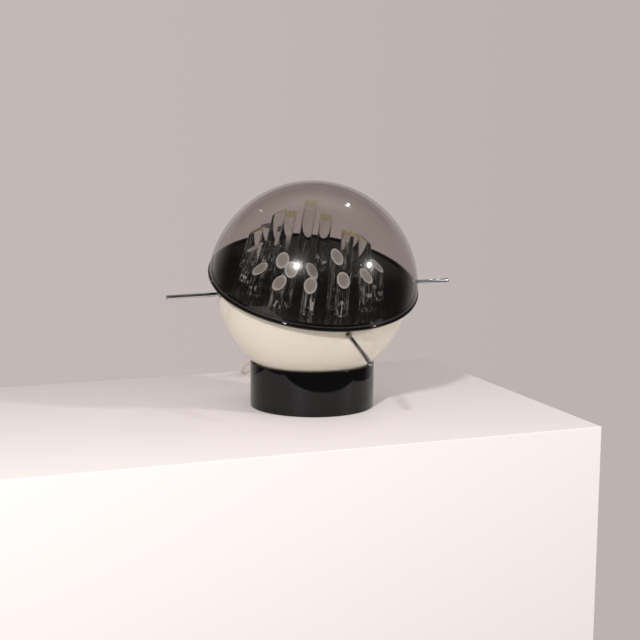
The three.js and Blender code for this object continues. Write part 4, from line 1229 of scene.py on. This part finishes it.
class GLOBELAMP_OT_bowl(Operator):
    """Makes the ivory bowl"""

    bl_idname = "globelamp.bowl"
    bl_label = "Ivory bowl"

    def execute(self, context):
        s, sides = sizes_of(context), studio_of(context).smooth_sides
        radius, inside = s.bowl_radius, s.bowl_radius - s.bowl_wall
        place, mouth, ease, steps = globe_place(s), s.flange_low - SEAT, 0.0006, 56
        outer = arc(radius, 0, -math.pi / 2, math.asin(mouth / radius), steps)
        inner = arc(inside, 0, math.asin(mouth / inside), -math.pi / 2, steps)
        rim = [
            (outer[-1][0], mouth - ease), (outer[-1][0] - ease, mouth),
            (inner[0][0] + ease, mouth), (inner[0][0], mouth - ease),
        ]
        section = [(0, -radius), *outer[1:-1], *rim, *inner[1:-1], (0, -inside)]
        drills = [drill_bit(POLE_HOLE, -radius, -inside, place)]
        for k in range(3):
            way = outward(s.chrome_azimuth + k * math.pi / 2 - math.pi / 2, CHROME_HEIGHT)
            drills.append(drill_bit(BUSH_HOLE, inside, radius, place @ way))
        fitted("Ivory bowl", section, 0, ivory_acrylic, "globe_shell", place, sides, False, drills)
        return {"FINISHED"}


class GLOBELAMP_OT_dish(Operator):
    """Makes the glossy black dish and the skirt under it"""

    bl_idname = "globelamp.dish"
    bl_label = "Black dish"

    def execute(self, context):
        s, sides = sizes_of(context), studio_of(context).smooth_sides
        place, round_edge, rings, rings_below = globe_place(s), 0.0024, 24, 8
        top, low, edge = s.flange_high, s.flange_low, s.flange_radius
        lip, mouth, centre = dish_hollow(s)
        outside = skirt_radius(s)
        inside = outside - s.skirt_wall

        def floor(radius, thickness=0.0):
            return centre - across(s.dish_curve + thickness, radius)

        section = [(mouth * i / rings, floor(mouth * i / rings)) for i in range(rings)]
        section += rounded([
            (mouth, floor(mouth)), (mouth, top + s.lip_rise), (lip, top + s.lip_rise),
            (lip, top), (edge, top), (edge, low), (outside, low),
        ], round_edge, False, 6)
        for i in range(rings_below + 1):
            radius = outside * (1 - i / rings_below)
            section.append((radius, floor(radius, s.dish_thickness)))
        fitted("Black dish", section, 0, black_acrylic, "globe_shell", place, sides)
        high = floor(inside, s.dish_thickness) - SEAT
        skirt = cut_of(inside, outside, -s.skirt_depth, high)
        fitted("Dish skirt", skirt, 0.0005, black_acrylic, "globe_shell", place, sides, True)
        return {"FINISHED"}


class GLOBELAMP_OT_dome(Operator):
    """Makes the smoked dome"""

    bl_idname = "globelamp.dome"
    bl_label = "Smoked dome"

    def execute(self, context):
        s, sides = sizes_of(context), studio_of(context).smooth_sides
        foot = s.flange_high + SEAT
        inner, outer = (
            [*arc(radius, 0, math.asin(foot / radius), math.pi / 2, 64)[:-1], (0, radius)]
            for radius in (s.dome_radius - s.dome_wall, s.dome_radius)
        )
        section = [*reversed(inner), *outer]
        dome = turned("Smoked dome", section, smoked_acrylic(), None, sides)
        dome.data.materials.append(sawn_edge())
        for face in dome.data.polygons:
            face.material_index = int(face.center.z < foot + 0.0001)
        dome.data.transform(globe_place(s))
        put(dome, "dome", "smoked_acrylic", "smoked_dome")
        return {"FINISHED"}


class GLOBELAMP_OT_clear_rods(Operator):
    """Makes the clear rods with frosted, slanted ends"""

    bl_idname = "globelamp.clear_rods"
    bl_label = "Clear rods"

    def execute(self, context):
        s = sizes_of(context)
        centre = dish_hollow(s)[2]
        feet, leans = [], []
        for distance, _, azimuth, _ in CLEAR_RODS:
            turn = math.radians(azimuth)
            feet.append((
                distance * math.cos(turn), distance * math.sin(turn),
                centre - across(s.dish_curve, distance),
            ))
            leans.append((0.0, -math.asin(distance / s.dish_curve), turn))
        rods = points_piece(
            "Clear rods", feet,
            tall=[height * s.clear_tallest for _, height, _, _ in CLEAR_RODS],
            cut_turn=[math.radians(cut) for _, _, _, cut in CLEAR_RODS],
            # Far enough apart that no two rods share a pattern
            seed=[7.3 * i for i in range(len(CLEAR_RODS))],
            # The tall rods behind get paler, yellower ends: painted light that comes through them
            aged=[float(-10 < azimuth <= 170 and tall > 0.5) for _, tall, azimuth, _ in CLEAR_RODS],
            foot=feet, lean=leans,
        )
        grown(
            rods, slanted_rods,
            Radius=s.clear_radius, Tail=s.clear_tail, Slant=s.clear_cut, Rim=0.0004,
            Clear=clear_acrylic(), Frosted=frosted_acrylic(), Aged=aged_acrylic(),
        )
        rods.data.transform(globe_place(s))
        smooth(rods.data, 15.0)
        self.cement(s, feet, leans)
        nodes = [f"clear_rod_{i + 1:02d}" for i in range(len(CLEAR_RODS))]
        put(rods, "globe_shell", "clear_acrylic", *nodes)
        return {"FINISHED"}

    def cement(self, s, feet, leans):
        """A bead of clear cement at the foot of each rod."""
        near, wide, low, tall = s.clear_radius + 0.00004, 0.0011, 0.00012, 0.0011
        hollow = 0.35
        section = [
            (near, low), (near + wide, low), (near + wide * hollow, low + tall * hollow),
            (near, low + tall),
        ]
        bead = turned("Bead", rounded(section, 0.0002, True, 2), None, None, 40, True)
        beads = points_piece("Cement beads", feet, lean=leans)
        grown(beads, leaning_copies, Shape=bead, Material=clear_acrylic())
        removed(bead)
        beads.data.transform(globe_place(s))
        smooth(beads.data)
        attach(beads, "globe_shell")


class GLOBELAMP_OT_chromed_rods(Operator):
    """Makes the three chromed rods with their bushes and nuts"""

    bl_idname = "globelamp.chromed_rods"
    bl_label = "Chromed rods"

    def execute(self, context):
        s = sizes_of(context)
        face = s.bowl_radius + SEAT
        flange = face + BUSH_FLANGE_THICKNESS
        skirt_in = skirt_radius(s) - s.skirt_wall
        sleeve = skirt_in + s.skirt_wall + 2 * SEAT
        nut = across(skirt_in, ROD_NUT_RADIUS) * math.cos(math.pi / CAD_SIDES) - SEAT
        nut_end = nut - ROD_NUT_HEIGHT
        # The screwed end reaches past the nut
        neck, shank, start = 0.002, nut_end - 0.0015, flange + SEAT
        rod = [
            (0, shank), (neck, shank), (neck, start), (s.chrome_radius, start),
            (s.chrome_radius, s.chrome_reach), (0, s.chrome_reach),
        ]
        bush = [
            (BUSH_BORE, sleeve), (BUSH_SLEEVE, sleeve), (BUSH_SLEEVE, face),
            (BUSH_FLANGE, face), (BUSH_FLANGE, flange), (BUSH_BORE, flange),
        ]
        rods = turned("Chromed rods", rounded(rod, 0.0004), sides=48)
        self.copies(s, rods, chrome_plate, "chrome_rod")
        bushes = turned("Rod bushes", rounded(bush, 0.0003, True), sides=48, loop=True)
        self.copies(s, bushes, turned_brass, "rod_bush")
        body = rounded(cut_of(0, ROD_NUT_RADIUS, nut_end, nut), 0.0004)
        nuts = turned("Rod nuts", body, sides=6)
        drilled(nuts, drill_bit(BUSH_BORE, nut_end, nut))
        self.copies(s, nuts, turned_brass, "rod_nut")
        return {"FINISHED"}

    def copies(self, s, piece, finish, stem):
        """Lays a piece outward and copies it a quarter turn apart."""
        quarter = math.pi / 2
        piece.data.transform(outward(0.0, CHROME_HEIGHT))
        grown(
            piece, turned_copies,
            Copies=3, First=s.chrome_azimuth - quarter, Step=quarter, Material=finish(),
        )
        piece.data.transform(globe_place(s))
        smooth(piece.data)
        put(piece, "globe_shell", finish.slot, *[f"{stem}_{side}" for side in SIDES_OF_GLOBE])


class GLOBELAMP_OT_nipple(Operator):
    """Makes the threaded nipple with its washer, nuts and cord gland"""

    bl_idname = "globelamp.nipple"
    bl_label = "Nipple and nuts"

    def execute(self, context):
        core = "globe_core", globe_place(sizes_of(context))
        nipple, washer = cut_of(0.0032, 0.005, *NIPPLE), cut_of(POLE_HOLE, 0.009, *WASHER)
        fitted("Threaded nipple", nipple, 0.0003, threaded_zinc, *core, 48, True)
        fitted("Pole washer", washer, 0.0003, zinc_plate, *core, 64, True)
        for name, heights in (("Outer pole nut", OUTER_NUT), ("Inner pole nut", INNER_NUT)):
            drill = drill_bit(POLE_HOLE, *heights, core[1])
            body = cut_of(0, 0.008, *heights)
            fitted(name, body, 0.0006, turned_brass, *core, 6, drills=[drill])
        cord_hole, outside, (low, high) = 0.00255, 0.0065, GLAND
        seat = NIPPLE[0] - SEAT
        gland = [
            (cord_hole, low), (outside, low), (outside, high), (POLE_HOLE, high),
            (POLE_HOLE, seat), (cord_hole, seat),
        ]
        fitted("Cord gland", gland, 0.0005, off_white_moulding, *core, 48, True)
        return {"FINISHED"}


class GLOBELAMP_OT_lampholder(Operator):
    """Makes the lampholder and its bulb"""

    bl_idname = "globelamp.lampholder"
    bl_label = "Lampholder and bulb"

    def execute(self, context):
        core = "globe_core", globe_place(sizes_of(context))
        inside, outside, grip = 0.0165, 0.019, 0.0183
        shell_height, first_groove, groove_step = 0.032, 0.006, 0.0045
        core_rise, core_height, screw_height = 0.0015, 0.009, 0.019
        low = HOLDER_LOW
        top, cone, floor = low + 0.0175, low + 0.0087, low + 0.0025
        cap = [
            (POLE_HOLE, low), (0.011, low), (outside, cone), (outside, top), (inside, top),
            (inside, cone + 0.00125), (0.00975, floor), (POLE_HOLE, floor),
        ]
        fitted("Holder cap", cap, 0.0008, black_phenolic, *core, 64, True)
        start = top + SEAT
        end = start + shell_height
        shell = [(inside, start), (outside, start)]
        for k in range(5):
            at = start + first_groove + k * groove_step
            shell += [
                (outside, at), (grip, at + 0.0006), (grip, at + 0.0016), (outside, at + 0.0022)
            ]
        shell += [(outside, end), (inside, end)]
        fitted("Holder shell", shell, 0.0004, black_phenolic, *core, 64, True)
        low = start + core_rise
        high = low + core_height
        fitted("Holder core", cut_of(0, 0.0162, low, high), 0.0006, porcelain, *core)
        low = high + SEAT
        screw = cut_of(0.0135, 0.0143, low, low + screw_height)
        fitted("Screw shell", screw, 0.0002, turned_brass, *core, 64, True)
        self.bulb(core, low + SEAT)
        return {"FINISHED"}

    def bulb(self, core, low):
        cap_height, first_thread, pitch, root, crest, collar = (
            0.026, 0.0055, 0.0036, 0.0124, 0.0132, 0.0128
        )
        high = low + cap_height
        cap = [(0, low), (0.005, low), (0.0075, low + 0.003), (0.0118, low + 0.0045)]
        for k in range(5):
            at = low + first_thread + k * pitch
            cap += [(root, at), (crest, at + 0.0014), (root, at + 0.0028)]
        cap += [(collar, high - 0.001), (collar, high), (0, high)]
        fitted("Bulb cap", cap, 0.0006, turned_brass, *core)
        radius, neck, start = 0.0225, 0.0115, high + SEAT
        middle = start + across(radius, neck)
        glass = arc(radius, middle, -math.acos(neck / radius), math.pi / 2, 24)
        glass[-1] = (0, glass[-1][1])
        fitted("Bulb glass", [(0, start), *glass], 0, opal_glass, *core)


class GLOBELAMP_OT_switch(Operator):
    """Makes the switch on the cord"""

    bl_idname = "globelamp.switch"
    bl_label = "Cord switch"

    def execute(self, context):
        softened("Switch lower shell", 0.0009, off_white_moulding, "base")
        softened("Switch upper shell", 0.0014, off_white_moulding, "base")
        softened("Switch rocker", 0.0006, off_white_moulding, "rocker")
        head, shank, low, shoulder, top = 0.0028, 0.0013, 0.0008, 0.0024, 0.0138
        screw = [
            (0, low), (head, low), (head, shoulder), (shank, shoulder), (shank, top), (0, top)
        ]
        middle_to_screw = (0.020, 0, 0)
        place = Matrix.Translation((*SWITCH_MIDDLE, 0)) @ Matrix.Translation(middle_to_screw)
        fitted("Switch screw", screw, 0.0003, zinc_plate, "base", place, 32)
        return {"FINISHED"}


class GLOBELAMP_OT_plug(Operator):
    """Makes the plug and its two pins"""

    bl_idname = "globelamp.plug"
    bl_label = "Plug"

    def execute(self, context):
        softened("Plug body", 0.0012, off_white_moulding, "base")
        front = PLUG_END[1] - PLUG_RELIEF_LENGTH - PLUG_LENGTH
        pin = cut_of(0, PIN_RADIUS, -PIN_DEPTH, PIN_LENGTH)
        for side, step in (("left", -0.5), ("right", 0.5)):
            root = (PLUG_END[0] + step * PIN_SPACING, front, PLUG_THICKNESS / 2)
            place = Matrix.Translation(root) @ Matrix.Rotation(math.pi / 2, 4, "X")
            fitted(f"Plug pin {side}", pin, 0.0009, chrome_plate, "base", place, 32)
        return {"FINISHED"}


OPERATORS = (
    GLOBELAMP_OT_studio,
    GLOBELAMP_OT_cords,
    GLOBELAMP_OT_base,
    GLOBELAMP_OT_bowl,
    GLOBELAMP_OT_dish,
    GLOBELAMP_OT_dome,
    GLOBELAMP_OT_clear_rods,
    GLOBELAMP_OT_chromed_rods,
    GLOBELAMP_OT_nipple,
    GLOBELAMP_OT_lampholder,
    GLOBELAMP_OT_switch,
    GLOBELAMP_OT_plug,
)


class GLOBELAMP_PT_panel(Panel):
    """Lists the lamp's pieces"""

    bl_idname = "GLOBELAMP_PT_panel"
    bl_label = "Globe Lamp"
    bl_space_type = "VIEW_3D"
    bl_region_type = "UI"
    bl_category = "Globe Lamp"

    def draw(self, context):
        for kind in OPERATORS:
            self.layout.operator(kind.bl_idname)
        for settings in (sizes_of(context), finishes_of(context), studio_of(context)):
            box = self.layout.box()
            for name in settings.__annotations__:
                box.prop(settings, name)


CLASSES = (LampSizes, LampFinishes, LampStudio, *OPERATORS, GLOBELAMP_PT_panel)


def register():
    for kind in CLASSES:
        bpy.utils.register_class(kind)
    bpy.types.Scene.globe_lamp_sizes = PointerProperty(type=LampSizes)
    bpy.types.Scene.globe_lamp_finishes = PointerProperty(type=LampFinishes)
    bpy.types.Scene.globe_lamp_studio = PointerProperty(type=LampStudio)


def unregister():
    del bpy.types.Scene.globe_lamp_studio
    del bpy.types.Scene.globe_lamp_finishes
    del bpy.types.Scene.globe_lamp_sizes
    for kind in reversed(CLASSES):
        bpy.utils.unregister_class(kind)


def main():
    register()
    for kind in OPERATORS:
        group, name = kind.bl_idname.split(".")
        getattr(getattr(bpy.ops, group), name)()


if __name__ == "__main__":
    main()
